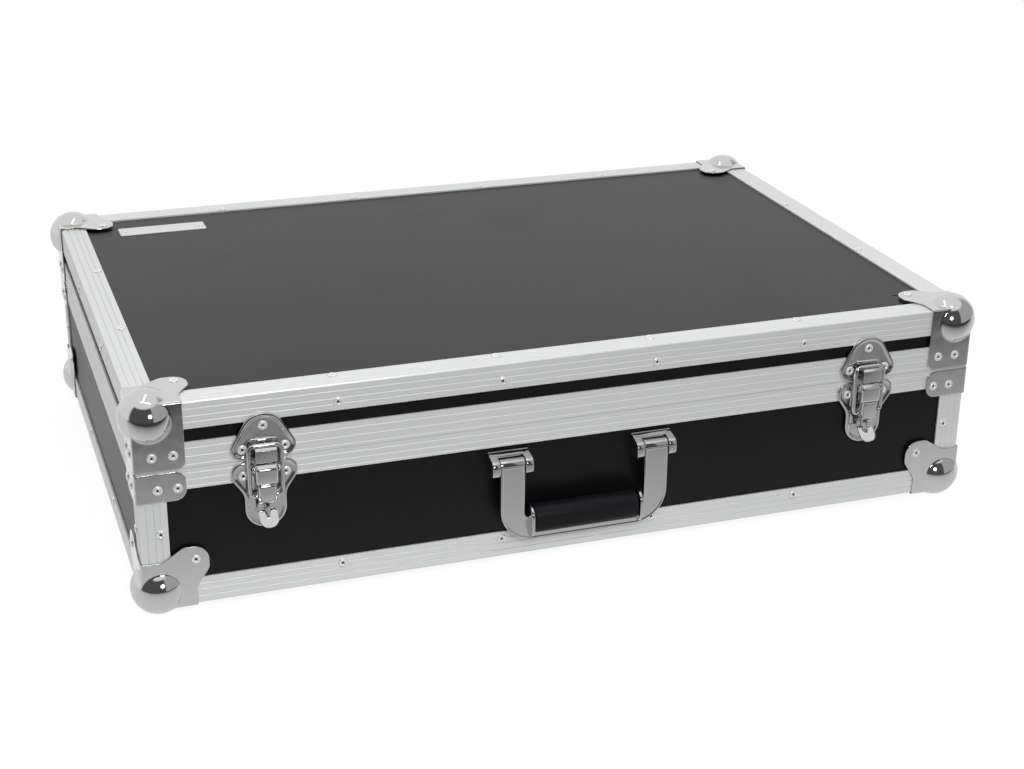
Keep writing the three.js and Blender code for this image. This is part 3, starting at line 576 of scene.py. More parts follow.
GRAIN, MARKS, WAVES = grain_group(), smudge_group(), wave_group()
DRAWN_ALONG = {"x": (0.02, 1.0, 1.0), "y": (1.0, 0.02, 1.0), "z": (1.0, 1.0, 0.02)}
ALUMINIUM = {
    axis: metal(f"aluminium drawn along {axis}", (0.62, 0.63, 0.625), (0.70, 0.71, 0.705),
                (0.34, 0.44), stretch, bump=0.005, metallic=0.5)
    for axis, stretch in DRAWN_ALONG.items()
}
NICKEL = metal("nickel plated steel", (0.57, 0.57, 0.565), (0.63, 0.63, 0.625), (0.06, 0.13),
               grain_scale=260.0, bump=0.003, marks=0.35, waves=0.3)
CHROME = metal("chromed steel", (0.50, 0.50, 0.50), (0.55, 0.55, 0.55), (0.03, 0.08),
               grain_scale=120.0, bump=0.001, waves=0.2)
RIVET = metal("rivet steel", (0.72, 0.72, 0.715), (0.80, 0.80, 0.795), (0.18, 0.28),
              grain_scale=300.0, bump=0.004, metallic=0.6)
LAMINATE = board_finish()
RUBBER = soft_finish("moulded black rubber", (0.004, 0.004, 0.0045), (0.007, 0.007, 0.008),
                     rough=0.45, scale=700.0, relief_depth=0.04, shine=0.15)
FOAM = soft_finish("charcoal foam", (0.02, 0.02, 0.022), (0.055, 0.055, 0.06),
                   rough=0.9, scale=380.0, relief_depth=0.5)
# Near black: painted shade on the floor disc of each rivet's bore, for the depth of the hole
BORE_SHADE = soft_finish("painted shade in rivet bore", (0.01, 0.01, 0.01), (0.03, 0.03, 0.03),
                   rough=0.6, scale=300.0, relief_depth=0.05)
RIVETS, WIRES = rivet_tree(), wire_tree()

# Ball corners and braces

CORNERS = [
    (f"{depth_name}_{width_name}", across, deep)
    for depth_name, deep in (("front", -1), ("back", 1))
    for width_name, across in (("left", -1), ("right", 1))
]
EDGE_RADIUS, FOLD_RADIUS = 0.5, 2.0
FILLET, LEAST_FILLET = 1.1, 0.01  # where the ball leaves the faces
# The ball takes over from the faces where a point lies outward of its centre on all three axes.
# These are the least and the full share of the way to it.
BALL_TAKES_OVER = (0.02, 0.24)
ROUND_BEYOND = 2.5 * FOLD_RADIUS  # a fold is fully round this far from the corner
# How a face is divided: along its rays, over the ring where it meets the ball, and at its edges
PLATE_RINGS = 30
RING_STEPS = (-2.4, -1.6, -1.0, -0.5, 0.0, 0.5, 1.0, 1.6, 2.4)
EDGE_DISTANCES = (1.2, 0.5, 0.25, 0.08, 0.0)
NEAR_FOLD = (0.35, 0.75, 1.2, 1.7, 2.3, 3.2, 4.5, 6.0)
FINE_FACET, LONGEST_PIECE, LEAST_SPAN, LEAST_SHARE = math.radians(6), 3.0, 0.01, 0.02
LEAST_ROW, LEAST_TURN = 0.07, 0.004  # rows and rays closer than this are moved or left out
# How a brace is divided: beside its fold, along its flat, round its end and up
BESIDE_FOLD = (0.0, 0.25, 0.5, 0.75, 1.0, 1.35, 1.7, 2.2, 3.5)
BRACE_FLAT, BRACE_END, BRACE_LEVELS = 8, 14, 8
NO_FOLD = 99.0  # a distance at which a second fold plays no part
END_MARGIN = 0.001  # keeps the end from turning in to nothing
CORNER_SHARP = 50


def corner_place(across, deep, up):
    """Carries (in from the side, in from front or back, in from foot or top) to the row frame."""
    origin = (
        CASE_LEFT if across < 0 else CASE_RIGHT,
        CASE_FRONT if deep < 0 else CASE_BACK,
        CASE_FOOT if up > 0 else CASE_TOP,
    )
    return place(origin, (-across, 0, 0), (0, -deep, 0), (0, 0, up))


def lobed_plate(reach, rise, first_nose=0.0, last_nose=0.0):
    """A face with a lobe along its diagonal.

    A nose rounds the end of a fold, alike on the faces that share it.
    """
    out, top = reach + OVERHANG, rise + OVERHANG
    return [
        (-FOLD, -FOLD), (reach, -FOLD, first_nose), (reach, rise * NECK_SHARE, NECK),
        (out, rise * HEEL_SHARE, HEEL), (out, top, LOBE), (reach * HEEL_SHARE, top, HEEL),
        (reach * NECK_SHARE, rise, NECK), (-FOLD, rise, last_nose),
    ]


def straight_plate(reach, drop):
    return [(-FOLD, -FOLD), (reach, -FOLD), (reach, drop, LID_ROUND), (-FOLD, drop)]


def ray_ends(corners):
    """Points round a face's free edge from fold to fold, close together near the folds."""
    outline = rounded(corners, 0.0, FINE_FACET)[1:]
    ends = [outline[0]]
    for a, b in zip(outline, outline[1:]):
        cuts = []
        for fold_axis in (0, 1):
            span = b[fold_axis] - a[fold_axis]
            if abs(span) <= LEAST_SPAN:
                continue
            for distance in NEAR_FOLD:
                share = (distance - FOLD - a[fold_axis]) / span
                if LEAST_SHARE < share < 1 - LEAST_SHARE:
                    cuts.append(share)
        pieces = max(1, math.ceil((b - a).length / LONGEST_PIECE))
        cuts += [k / pieces for k in range(1, pieces)]
        ends += [a.lerp(b, share) for share in sorted(cuts)] + [b]
    return set_apart(ends)


def set_apart(ends):
    """Leaves out rays that point almost the same way, and would fall together at the corner."""
    corner = Vector((-FOLD, -FOLD))
    kept = [ends[0]]
    for end in ends[1:-1]:
        if min((end - corner).angle(other - corner) for other in (kept[-1], ends[-1])) > LEAST_TURN:
            kept.append(end)
    return kept + [ends[-1]]


def smooth_step(low, high, value):
    share = min(max((value - low) / (high - low), 0.0), 1.0)
    return share * share * (3 - 2 * share)


def onto_ball(point):
    """Draws a point of the folded sheet in to the ball at the corner, or out over it."""
    centre = Vector((BALL_INSET,) * 3)
    way = point - centre
    distance = way.length
    way.normalize()
    share = smooth_step(*BALL_TAKES_OVER, min(-way.x, -way.y, -way.z))
    drawn = distance + (min(distance, BALL_RADIUS) - distance) * share
    blend = max(FILLET * (1 - share), LEAST_FILLET)
    mix = max(blend - abs(drawn - BALL_RADIUS), 0.0) / blend
    return centre + way * (max(drawn, BALL_RADIUS) + mix * mix * blend / 4)


def edge_depth(distance):
    """How far a face has turned in at a distance from its free edge."""
    left = max(EDGE_RADIUS - distance, 0.0)
    return EDGE_RADIUS - math.sqrt(EDGE_RADIUS**2 - left**2)


def folded(first, second, depth):
    """A point at two distances from the folds, laid round their radius.

    It stays square where both folds meet, so that the three faces share their corner.
    """
    inward = depth
    placed_at = []
    for distance in (first, second):
        if distance < FOLD_RADIUS:
            angle = (1 - distance / FOLD_RADIUS) * math.pi / 4
            placed_at.append(FOLD_RADIUS - (FOLD_RADIUS - depth) * math.sin(angle))
            inward += (FOLD_RADIUS - depth) * (1 - math.cos(angle))
        else:
            placed_at.append(distance)
    square = 1 - smooth_step(FOLD_RADIUS, ROUND_BEYOND, max(first, second))
    round_spot, square_spot = (*placed_at, inward), (first, second, depth)
    return tuple(a + (b - a) * square - FOLD for a, b in zip(round_spot, square_spot))


def ring_crossings(way):
    """Rows of a ray over the far side of the ring where the ball leaves the face."""
    to_middle = Vector((BALL_INSET + FOLD,) * 2)
    along = to_middle.dot(way)
    ring = BALL_RADIUS**2 - (BALL_INSET + FOLD) ** 2
    half = math.sqrt(ring - (to_middle.length_squared - along**2))
    return [along + half + step for step in RING_STEPS]


def spread_out(distances):
    """Rows that fall almost together are moved apart, towards the corner."""
    for k in range(len(distances) - 2, 0, -1):
        distances[k] = min(distances[k], distances[k + 1] - LEAST_ROW)
    return distances


def corner_skin(name, wall, flat, where):
    """The three faces of a ball corner as one open sheet."""
    layouts = (
        (wall, lambda a, b, c: (a, c, b)),
        (wall, lambda a, b, c: (c, a, b)),
        (flat, lambda a, b, c: (a, b, c)),
    )
    rows = PLATE_RINGS + len(EDGE_DISTANCES) + len(RING_STEPS)
    points, faces = [], []
    for number, (corners, arrange) in enumerate(layouts):
        ends = ray_ends(corners)
        start = len(points)
        for end in ends:
            ray = end - Vector((-FOLD, -FOLD))
            length = ray.length
            inner = length - EDGE_DISTANCES[0]
            distances = [inner * k / PLATE_RINGS for k in range(PLATE_RINGS)]
            distances += [length - distance for distance in EDGE_DISTANCES]
            for distance in spread_out(sorted(distances + ring_crossings(ray / length))):
                spot = ray * (distance / length)
                bent = folded(max(spot.x, 0.0), max(spot.y, 0.0), edge_depth(length - distance))
                points.append(where @ onto_ball(Vector(arrange(*bent))))
        turned = (number == 0) ^ (where.determinant() < 0)
        for face in sheet_faces(len(ends), rows, start):
            faces.append(face if turned else tuple(reversed(face)))
    skin = mesh_from(name, points, faces, outward=False)
    work = bmesh.new()
    work.from_mesh(skin.data)
    bmesh.ops.dissolve_degenerate(work, edges=work.edges, dist=LEAST_EDGE * MM)
    work.to_mesh(skin.data)
    work.free()
    return skin


def ball_corners():
    drop = CASE_TOP - PARTING - LID_LIFT
    base_wall = lobed_plate(BASE_REACH, BASE_RISE, NOSE)
    base_flat = lobed_plate(BASE_REACH, BASE_REACH, NOSE, NOSE)
    lid_wall, lid_flat = straight_plate(LID_REACH, drop), lobed_plate(LID_REACH, LID_REACH)
    kinds = (("base", base_wall, base_flat, 1), ("lid", lid_wall, lid_flat, -1))
    for name, across, deep in CORNERS:
        for body, wall, flat, up in kinds:
            node = f"ball_corner_{body}_{name}"
            skin = corner_skin(node, wall, flat, corner_place(across, deep, up))
            corner = thickened(f"{body} corner {name}", skin, SHEET, even=False)
            finished(corner, NICKEL, body, "nickel", node, sharp=CORNER_SHARP)


def brace_columns(half_length):
    """Distances from a brace's fold, on both sides of it."""
    last = BESIDE_FOLD[-1]
    flat = half_length - last - BRACE_ROUND
    columns = list(BESIDE_FOLD)
    columns += [last + flat * k / BRACE_FLAT for k in range(1, BRACE_FLAT + 1)]
    for k in range(1, BRACE_END + 1):
        angle = math.pi / 2 * k / BRACE_END
        columns.append(half_length - BRACE_ROUND * (1 - math.sin(angle)))
    return [-along for along in reversed(columns[1:])] + columns


def brace_levels():
    margin = EDGE_DISTANCES[0]
    levels = list(reversed(EDGE_DISTANCES))
    levels += [
        margin + (BRACE_HEIGHT - 2 * margin) * k / BRACE_LEVELS for k in range(1, BRACE_LEVELS + 1)
    ]
    return levels + [BRACE_HEIGHT - distance for distance in EDGE_DISTANCES[1:]]


def braces():
    """Flat strips folded over the upper corners of the base, with round ends."""
    half_length = BRACE_REACH + FOLD
    foot = PARTING - CASE_FOOT - BRACE_DROP - BRACE_HEIGHT
    columns, levels = brace_columns(half_length), brace_levels()
    rows = len(levels)
    for name, across, deep in CORNERS:
        where = corner_place(across, deep, 1)
        points, faces = [], []
        for along in columns:
            beyond = max(abs(along) - (half_length - BRACE_ROUND), 0.0)
            cut = BRACE_ROUND - math.sqrt(max(BRACE_ROUND**2 - beyond**2, 0.0))
            for level in levels:
                height = cut + (BRACE_HEIGHT - 2 * cut) * (level / BRACE_HEIGHT)
                to_end = half_length - abs(along) + END_MARGIN
                depth = edge_depth(min(level, BRACE_HEIGHT - level, to_end))
                first, _, inward = folded(abs(along), NO_FOLD, depth)
                pair = (first, inward) if along > 0 else (inward, first)
                points.append(where @ Vector((*pair, foot + height)))
        turned = where.determinant() < 0
        for k in range(len(columns) - 1):
            for row in range(rows - 1):
                a = k * rows + row
                face = (a, a + rows, a + rows + 1, a + 1)
                faces.append(tuple(reversed(face)) if turned else face)
        skin = mesh_from(f"brace {name}", points, faces, outward=False)
        brace = thickened(f"folded brace {name}", skin, SHEET)
        finished(brace, NICKEL, "base", "nickel", f"corner_brace_{name}", sharp=CORNER_SHARP)


# Draw latches, drawn outward from the front and up from the parting line

KEEPER = [(-32.0, 1.0, 9.3), (32.0, 1.0, 9.3), (0.0, 56.2, 18.0)]
LATCH_PLATE = symmetric([
    (16.2, -56.5, 16.0), (16.2, -28.0, 14.0), (25.5, -14.5, 8.0), (25.5, -1.0, 9.2),
    (7.0, -1.0, 4.5), (7.0, -8.0, 2.0),
])
HOOK_HALF, HOOK_SHELF, HOOK_REACH = 8.3, 11.8, 12.0
HOOK_LIP = HOOK_SHELF + SHEET
HOOK_SIDE = [
    (HOOK_REACH - SHEET, HOOK_LIP - 11.4), (HOOK_REACH, HOOK_LIP - 11.4, 0.4),
    (HOOK_REACH, HOOK_LIP - 1.7, 0.3), (HOOK_REACH - 1.8, HOOK_LIP + 0.3, 0.3),
    (HOOK_REACH - 2.6, HOOK_LIP - 0.5), (HOOK_REACH - SHEET, HOOK_LIP - 2.1),
]
SHELF_END = HOOK_REACH - 0.4
KEEPER_RIM, PLATE_RIM = 0.9, 0.7
ROOT, STAPLE_ROOT = 0.6, 0.4  # how far out the pieces start that stand on a plate
BEAD_RADIUS, BEAD_HALF, BEAD_RISE, BEAD_EDGE = 1.7, 10.5, 4.8, 1.2
BEHIND_BEAD = (-14.0, 0.0, 14.0, 40.0)  # what is cut off behind the plate
CHEEK = [(ROOT, -7.9), (11.2, -7.9, 3.2), (11.2, -1.5, 3.2), (ROOT, -1.5)]
CHEEK_INNER, PIN_HALF, PIN_HEAD, PIN_HEAD_LENGTH = 8.9, 10.6, 2.2, 0.8
PIN_HEADS = (-10.8, 10.0)  # where they start
BAR_HEIGHT, BAIL_LENGTH, BAIL_HALF, BAIL_OUT = 13.8, 41.5, 12.7, 6.3
BAIL_END, BAIL_FOOT = 5.05, BAR_HEIGHT - BAIL_LENGTH
BAIL_STOUTER = 0.15  # than in the model
BAIL_FOOT_ROUND, BAIL_TOP_ROUND = 4.5, 5.0
STAPLE_DROP, STAPLE_HALF, STAPLE_REACH, STAPLE_ROUND, STAPLE_WIRE = 40.5, 4.9, 12.0, 3.9, 0.95
LEVER_SHARP, WIRE_SHARP = 28, 50
UPPER_BOX_HALF, UPPER_BOX_BACK, LOWER_BOX_HALF, LOWER_BOX_BACK = 7.7, 6.0, 6.1, 3.2
BOX_BEND, LEAST_BEND, BEND_STEPS = 1.2, 0.02, 5
EYE_RADIUS = 3.0
THROUGH = 20.0  # half the length of a bore through a whole piece
THUMB_HALF, THUMB_ROUND, THUMB_SPACING, THUMB_COLUMNS = 7.2, 6.8, 0.8, 12
THUMB_EDGE, THUMB_TURN = 0.3, 50
SLOT_HALF, SLOT_TOP, SLOT_FOOT, SLOT_LEAST = 2.2, -31.4, -46.2, 0.1
SLOT_V_FOOT, SLOT_V_SLOPE = 0.25, 0.45  # half its width at the foot, and how fast it widens
JOGGLE, JOGGLE_BACK, JOGGLE_FRONT = (-6.2, -19.0, 6.2, -13.0), 6.6, 9.2


def dished_steps(rim_height):
    """Steps of a pressed plate: a rounded rim with the middle set down."""
    top = PLATE_FACE + rim_height
    return [
        (0.0, SEAT_GAP), (0.0, top - 0.8), (0.12, top - 0.45), (0.4, top - 0.15),
        (0.8, top - 0.03), (1.4, top), (2.0, top - 0.08 * rim_height),
        (2.6, top - 0.35 * rim_height), (3.1, top - 0.7 * rim_height),
        (3.6, PLATE_FACE + 0.05), (4.2, PLATE_FACE),
    ]


def keeper(side, x):
    """The plate on the lid, with the hook that carries the bail's bar and a bead above it."""
    where = place((x, CASE_FRONT, PARTING))
    across = side_place((x, CASE_FRONT, PARTING))
    plate = stacked("keeper plate", KEEPER, dished_steps(KEEPER_RIM), where)
    shelf_side = box_outline(ROOT, HOOK_SHELF - SHEET, SHELF_END, HOOK_SHELF)
    shelf = slab("shelf", shelf_side, -HOOK_HALF, HOOK_HALF, across, edge=0.1)
    face = slab("hook face", HOOK_SIDE, -HOOK_HALF, HOOK_HALF, across, edge=0.35, back_edge=0.35)
    bead_place = where @ Matrix.Translation((0, HOOK_SHELF + BEAD_RISE, PLATE_FACE))
    bead = rod("bead", BEAD_RADIUS, -BEAD_HALF, BEAD_HALF, bead_place, edge=BEAD_EDGE)
    behind = slab("behind", box_outline(*BEHIND_BEAD), -BEAD_RISE, SEAT_GAP, where, edge=0.0)
    whole = joined(f"hook keeper {side}", [plate, shelf, face, bead], [behind])
    finished(whole, NICKEL, "lid", "nickel", f"latch_keeper_{side}", sharp=LEVER_SHARP)


def latch_plate(side, x):
    """The plate on the base with its cheeks and pin, and the padlock staple below."""
    where = place((x, CASE_FRONT, PARTING))
    across = side_place((x, CASE_FRONT, PARTING))
    parts = [stacked("latch plate", LATCH_PLATE, dished_steps(PLATE_RIM), where)]
    for near in (-CHEEK_INNER - SHEET, CHEEK_INNER):
        parts.append(slab("cheek", CHEEK, near, near + SHEET, across, edge=0.3, back_edge=0.3))
    along = where @ Matrix.Translation((0, -PIN_DROP, PIN_OUT))
    parts.append(rod("pin", PIN_RADIUS, -PIN_HALF, PIN_HALF, along, edge=0.2))
    for near in PIN_HEADS:
        parts.append(rod("pin head", PIN_HEAD, near, near + PIN_HEAD_LENGTH, along, edge=0.35))
    plate = joined(f"eared plate {side}", parts)
    finished(plate, NICKEL, "base", "nickel", f"latch_plate_{side}")
    reach, half = STAPLE_REACH - STAPLE_WIRE, STAPLE_HALF - STAPLE_WIRE
    bend = STAPLE_ROUND - STAPLE_WIRE
    loop = rounded([
        (STAPLE_ROOT, -STAPLE_DROP - half), (reach, -STAPLE_DROP - half, bend),
        (reach, -STAPLE_DROP + half, bend), (STAPLE_ROOT, -STAPLE_DROP + half),
    ])
    points = [across @ Vector((*point, 0)) for point in loop]
    staple = bent_wire(f"padlock staple {side}", points, STAPLE_WIRE, NICKEL)
    finished(staple, NICKEL, "base", "nickel")


def bail(side, x):
    """The bent wire from the lever round the hook, with its ends turned in to the lever."""
    where = place((x, CASE_FRONT, PARTING))
    path = rounded([
        (BAIL_END, BAIL_FOOT), (BAIL_HALF, BAIL_FOOT, BAIL_FOOT_ROUND),
        (BAIL_HALF, BAR_HEIGHT, BAIL_TOP_ROUND), (-BAIL_HALF, BAR_HEIGHT, BAIL_TOP_ROUND),
        (-BAIL_HALF, BAIL_FOOT, BAIL_FOOT_ROUND), (-BAIL_END, BAIL_FOOT),
    ])
    points = [where @ Vector((*point, BAIL_OUT)) for point in path]
    wire = bent_wire(f"wire bail {side}", points, WIRE_RADIUS + BAIL_STOUTER, NICKEL, BAIL_SIDES)
    finished(wire, NICKEL, f"bail_{side}", "nickel", f"latch_bail_{side}", sharp=WIRE_SHARP)


def arc(centre_x, centre_y, radius, from_angle, to_angle, steps):
    """Points on an arc, with its angles in degrees."""
    points = []
    for k in range(steps + 1):
        angle = math.radians(from_angle + (to_angle - from_angle) * k / steps)
        points.append((centre_x + radius * math.cos(angle), centre_y + radius * math.sin(angle)))
    return points


# The lever's outer face from the side, (out, height): its two boxes, then the neck and thumb tab
UPPER_BOX = [
    (8.0, -1.7), (9.1, -1.9), (9.2, -2.0), (11.1, -4.1), (11.4, -4.5), (11.5, -4.9),
    (11.5, -5.1), (11.5, -9.0), (11.5, -14.4), *arc(10.3, -14.4, 1.2, 0, -70, 4),
]
LOWER_BOX = [
    (7.0, -16.0), (8.2, -16.2), (8.3, -16.3), (10.1, -18.3), (10.4, -18.7), (10.5, -19.1),
    (10.5, -19.3), (10.5, -24.0), (10.5, -29.6), *arc(9.5, -29.6, 1.0, 0, -60, 3),
]
THUMB_TAB = [
    (8.6, -28.0), (9.9, -28.6), *arc(8.9, -30.2, 1.6, 40, -40, 4),
    (7.0, -33.6), *arc(6.1, -36.3, 1.9, 130, 180, 4), (4.2, -38.5),
    (4.2, -40.9), (4.5, -41.4), (6.3, -42.2), (6.6, -42.6), (8.7, -44.6), (10.8, -46.6),
    (12.9, -48.6), (15.9, -51.5),
]


def channel(name, half, back, spine, where):
    """A strip that runs down a spine of (out, height), folded back at both sides."""
    points = []
    for out, height in spine:
        turn = min(BOX_BEND, max(out - back, LEAST_BEND))
        section = [(-half, back)]
        for k in range(BEND_STEPS + 1):
            angle = math.pi / 2 * k / BEND_STEPS
            x = -half + turn * (1 - math.cos(angle))
            section.append((x, out - turn * (1 - math.sin(angle))))
        section += [(-x, y) for x, y in reversed(section)]
        points += [where @ Vector((x, height, y)) for x, y in section]
    faces = sheet_faces(len(spine), 2 * (BEND_STEPS + 2))
    return thickened(name, mesh_from(name, points, faces, outward=False), SHEET)


def subdivided(spine, spacing):
    """A spine with its points no further apart than a spacing."""
    points = []
    for (a_out, a_height), (b_out, b_height) in zip(spine, spine[1:]):
        run, rise = b_out - a_out, b_height - a_height
        pieces = max(1, math.ceil(math.dist((a_out, a_height), (b_out, b_height)) / spacing))
        points += [(a_out + run * k / pieces, a_height + rise * k / pieces) for k in range(pieces)]
    return points + [spine[-1]]


def lengths_to_tip(spine):
    """How far each point of a spine lies from its end, along it."""
    lengths = [0.0]
    for before, after in zip(reversed(spine[:-1]), reversed(spine[1:])):
        lengths.insert(0, lengths[0] + math.dist(before, after))
    return lengths


def slot_half(height):
    """Half the width of the slot over the staple: round at the top, and a V at the foot."""
    end = min(SLOT_TOP - height, height - SLOT_FOOT)
    if end <= 0:
        return SLOT_HALF
    left = max(SLOT_HALF - end, 0.0)
    round_half = math.sqrt(max(SLOT_HALF**2 - left**2, SLOT_LEAST**2))
    return min(round_half, SLOT_V_FOOT + SLOT_V_SLOPE * (height - SLOT_FOOT))


def thumb_strip(where):
    """The lever's neck and thumb tab: a strip with a round end, slotted over the staple."""
    spine = subdivided(THUMB_TAB, THUMB_SPACING)
    points = []
    for (out, height), ahead in zip(spine, lengths_to_tip(spine)):
        left = max(THUMB_ROUND - ahead, 0.0)
        half = THUMB_HALF - THUMB_ROUND + math.sqrt(max(THUMB_ROUND**2 - left**2, 0.0))
        inner = min(slot_half(height), half * 0.5)
        for k in range(THUMB_COLUMNS):
            share = min(k, THUMB_COLUMNS - 1 - k) / (THUMB_COLUMNS / 2 - 1)
            x = half + (inner - half) * share
            points.append(where @ Vector((-x if k < THUMB_COLUMNS / 2 else x, height, out)))
    faces = []
    for face in sheet_faces(len(spine), THUMB_COLUMNS):
        row, k = divmod(face[0], THUMB_COLUMNS)
        middle_height = (spine[row][1] + spine[row + 1][1]) / 2
        if k != THUMB_COLUMNS / 2 - 1 or not SLOT_FOOT < middle_height < SLOT_TOP:
            faces.append(face)
    strip = mesh_from("thumb strip", points, faces, outward=False)
    return softened(thickened("thumb strip", strip, SHEET), THUMB_EDGE, angle=THUMB_TURN)


def lever(side, x):
    """The lever: an eye on the pin, two bevelled boxes over the bail's ends, and the thumb tab."""
    where = place((x, CASE_FRONT, PARTING))
    pin = where @ Matrix.Translation((0, -PIN_DROP, PIN_OUT))
    bail_ends = where @ Matrix.Translation((0, BAIL_FOOT, BAIL_OUT))
    parts = [
        channel("upper box", UPPER_BOX_HALF, UPPER_BOX_BACK, UPPER_BOX, where),
        channel("lower box", LOWER_BOX_HALF, LOWER_BOX_BACK, LOWER_BOX, where),
        thumb_strip(where),
        rod("eye", EYE_RADIUS, -UPPER_BOX_HALF, UPPER_BOX_HALF, pin),
        slab("joggle", box_outline(*JOGGLE), JOGGLE_BACK, JOGGLE_FRONT, where, edge=0.1),
    ]
    cuts = [
        rod("pin bore", PIN_RADIUS + SEAT_GAP, -THROUGH, THROUGH, pin, edge=0.1),
        rod("bail bore", WIRE_RADIUS + SEAT_GAP, -THROUGH, THROUGH, bail_ends, edge=0.1),
    ]
    whole = joined(f"draw lever {side}", parts, cuts)
    finished(whole, NICKEL, f"lever_{side}", "nickel", f"latch_lever_{side}", sharp=LEVER_SHARP)


# Drop handle

BOW_HANGS_LOWER = 2.3  # than in the model
BOW_ROUND, BOW_INNER_ROUND = 28.0, 4.0
# The bow's section: inset, and out from its back or its face
BOW_BACK = ((0.5, 0.0), (0.0, 0.5))
BOW_FACE = (
    (0.0, -0.6), (0.18, -0.2), (0.5, 0.0), (1.1, 0.0), (1.4, -0.12), (1.7, -0.3), (2.0, -0.36),
    (2.4, -0.38),
)
EAR_BACK, EAR_FRONT, EAR_FOOT, EAR_TOP, EAR_THICK = 10.0, 10.8, 3.2, 30.4, 2.5
EARS = (-47.9, 45.4)  # where they start
GRIP_LIFT, GRIP_HEIGHT, GRIP_HALF, GRIP_DEEP = 5.9, 23.4, 45.0, 10.0
GRIP_ROUND, GRIP_EDGE = 9.0, 2.6
SLOT_DEEPER, SLOT_LONGER = 5.0, 15.0  # than the grip, which the bow's lower run passes through
BRACKET_BACK, BRACKET_FRONT, BRACKET_RISE, LUG_FRONT_RISE, BRACKET_FALL = -1.5, 16.0, 8.5, 4.5, 9.5
LUG_WIDTH, LUG_ROUND, LUG_GAP = 6.6, 6.0, 0.5
WEB_FRONT, WEB, WEB_IN_LUG, BRACKET_PLATE = 6.0, 2.2, 1.0, 1.0
BOW_PIN, PIN_IN_LUG = 2.5, 3.0


def handle():
    """The bow with its barrels and the ears beside the grip, the grip, and the two brackets."""
    where = place((0, CASE_FRONT, HANDLE_PIN))
    across = side_place((0, CASE_FRONT, HANDLE_PIN))
    outer, inner = (HANDLE_SPAN + HANDLE_ARM) / 2, (HANDLE_SPAN - HANDLE_ARM) / 2
    foot = -BOW_DROP - BOW_HANGS_LOWER
    strap = [
        (-outer, foot, BOW_ROUND), (outer, foot, BOW_ROUND), (outer, 0.0), (inner, 0.0),
        (inner, foot + HANDLE_ARM, BOW_INNER_ROUND), (-inner, foot + HANDLE_ARM, BOW_INNER_ROUND),
        (-inner, 0.0), (-outer, 0.0),
    ]
    back, face = BOW_OUT - BOW_HALF_THICKNESS, BOW_OUT + BOW_HALF_THICKNESS
    steps = [(inset, back + out) for inset, out in BOW_BACK]
    steps += [(inset, face + out) for inset, out in BOW_FACE]
    parts = [stacked("bow", strap, steps, where)]
    pin = where @ Matrix.Translation((0, 0, HANDLE_OUT))
    for low, high in ((-outer, -inner), (inner, outer)):
        parts.append(rod("barrel", HANDLE_BARREL, low, high, pin, edge=0.5, sides=40))
    ear = box_outline(BOW_OUT - EAR_BACK, foot + EAR_FOOT, BOW_OUT + EAR_FRONT, foot + EAR_TOP,
                      GRIP_ROUND)
    for near in EARS:
        parts.append(slab("ear beside the grip", ear, near, near + EAR_THICK, across,
                          edge=0.7, back_edge=0.7))
    finished(joined("drop bow", parts), CHROME, "handle", "chrome", "handle_bow")
    grip_foot = foot + GRIP_LIFT
    section = box_outline(BOW_OUT - GRIP_DEEP, grip_foot, BOW_OUT + GRIP_DEEP,
                          grip_foot + GRIP_HEIGHT, GRIP_ROUND)
    bar = slab("grip", section, -GRIP_HALF, GRIP_HALF, across, edge=GRIP_EDGE, back_edge=GRIP_EDGE)
    run_half = BOW_HALF_THICKNESS + SEAT_GAP
    run = box_outline(BOW_OUT - run_half, grip_foot - SLOT_DEEPER, BOW_OUT + run_half,
                      foot + HANDLE_ARM + SEAT_GAP)
    slot = slab("slot", run, -GRIP_HALF - SLOT_LONGER, GRIP_HALF + SLOT_LONGER, across, edge=0.0)
    finished(joined("rubber grip", [bar], [slot]), RUBBER, "handle", "grip_rubber", "handle_grip")
    for side, middle in (("left", -HANDLE_SPAN / 2), ("right", HANDLE_SPAN / 2)):
        bracket(side, middle)


def bracket(side, middle):
    """A plate on the board with two lugs, the web over them, and the pin that carries the bow."""
    where = place((middle, CASE_FRONT, HANDLE_PIN))
    across = side_place((middle, CASE_FRONT, HANDLE_PIN))
    inner = HANDLE_ARM / 2 + LUG_GAP
    outer = inner + LUG_WIDTH
    plate = box_outline(-outer, -BRACKET_FALL, outer, BRACKET_RISE, 1.0)
    parts = [slab("plate", plate, BRACKET_BACK, BRACKET_PLATE, where, edge=0.5)]
    lug = [
        (BRACKET_BACK, -BRACKET_FALL), (BRACKET_FRONT, -BRACKET_FALL, LUG_ROUND),
        (BRACKET_FRONT, LUG_FRONT_RISE, LUG_ROUND), (BRACKET_BACK, BRACKET_RISE),
    ]
    for near in (-outer, inner):
        parts.append(slab("lug", lug, near, near + LUG_WIDTH, across, edge=0.9, back_edge=0.9))
    share = (WEB_FRONT - BRACKET_BACK) / (BRACKET_FRONT - BRACKET_BACK)
    web_rise = BRACKET_RISE + (LUG_FRONT_RISE - BRACKET_RISE) * share
    web = [
        (BRACKET_BACK, BRACKET_RISE - WEB), (WEB_FRONT, web_rise - WEB, 0.6),
        (WEB_FRONT, web_rise, 1.0), (BRACKET_BACK, BRACKET_RISE),
    ]
    parts.append(slab("web", web, -inner - WEB_IN_LUG, inner + WEB_IN_LUG, across, edge=0.1))
    pin = where @ Matrix.Translation((0, 0, HANDLE_OUT))
    parts.append(rod("pin", BOW_PIN, -inner - PIN_IN_LUG, inner + PIN_IN_LUG, pin, edge=0.2))
    whole = joined(f"bow bracket {side}", parts)
    finished(whole, CHROME, "base", "chrome", f"handle_bracket_{side}")


# Hinges on the back

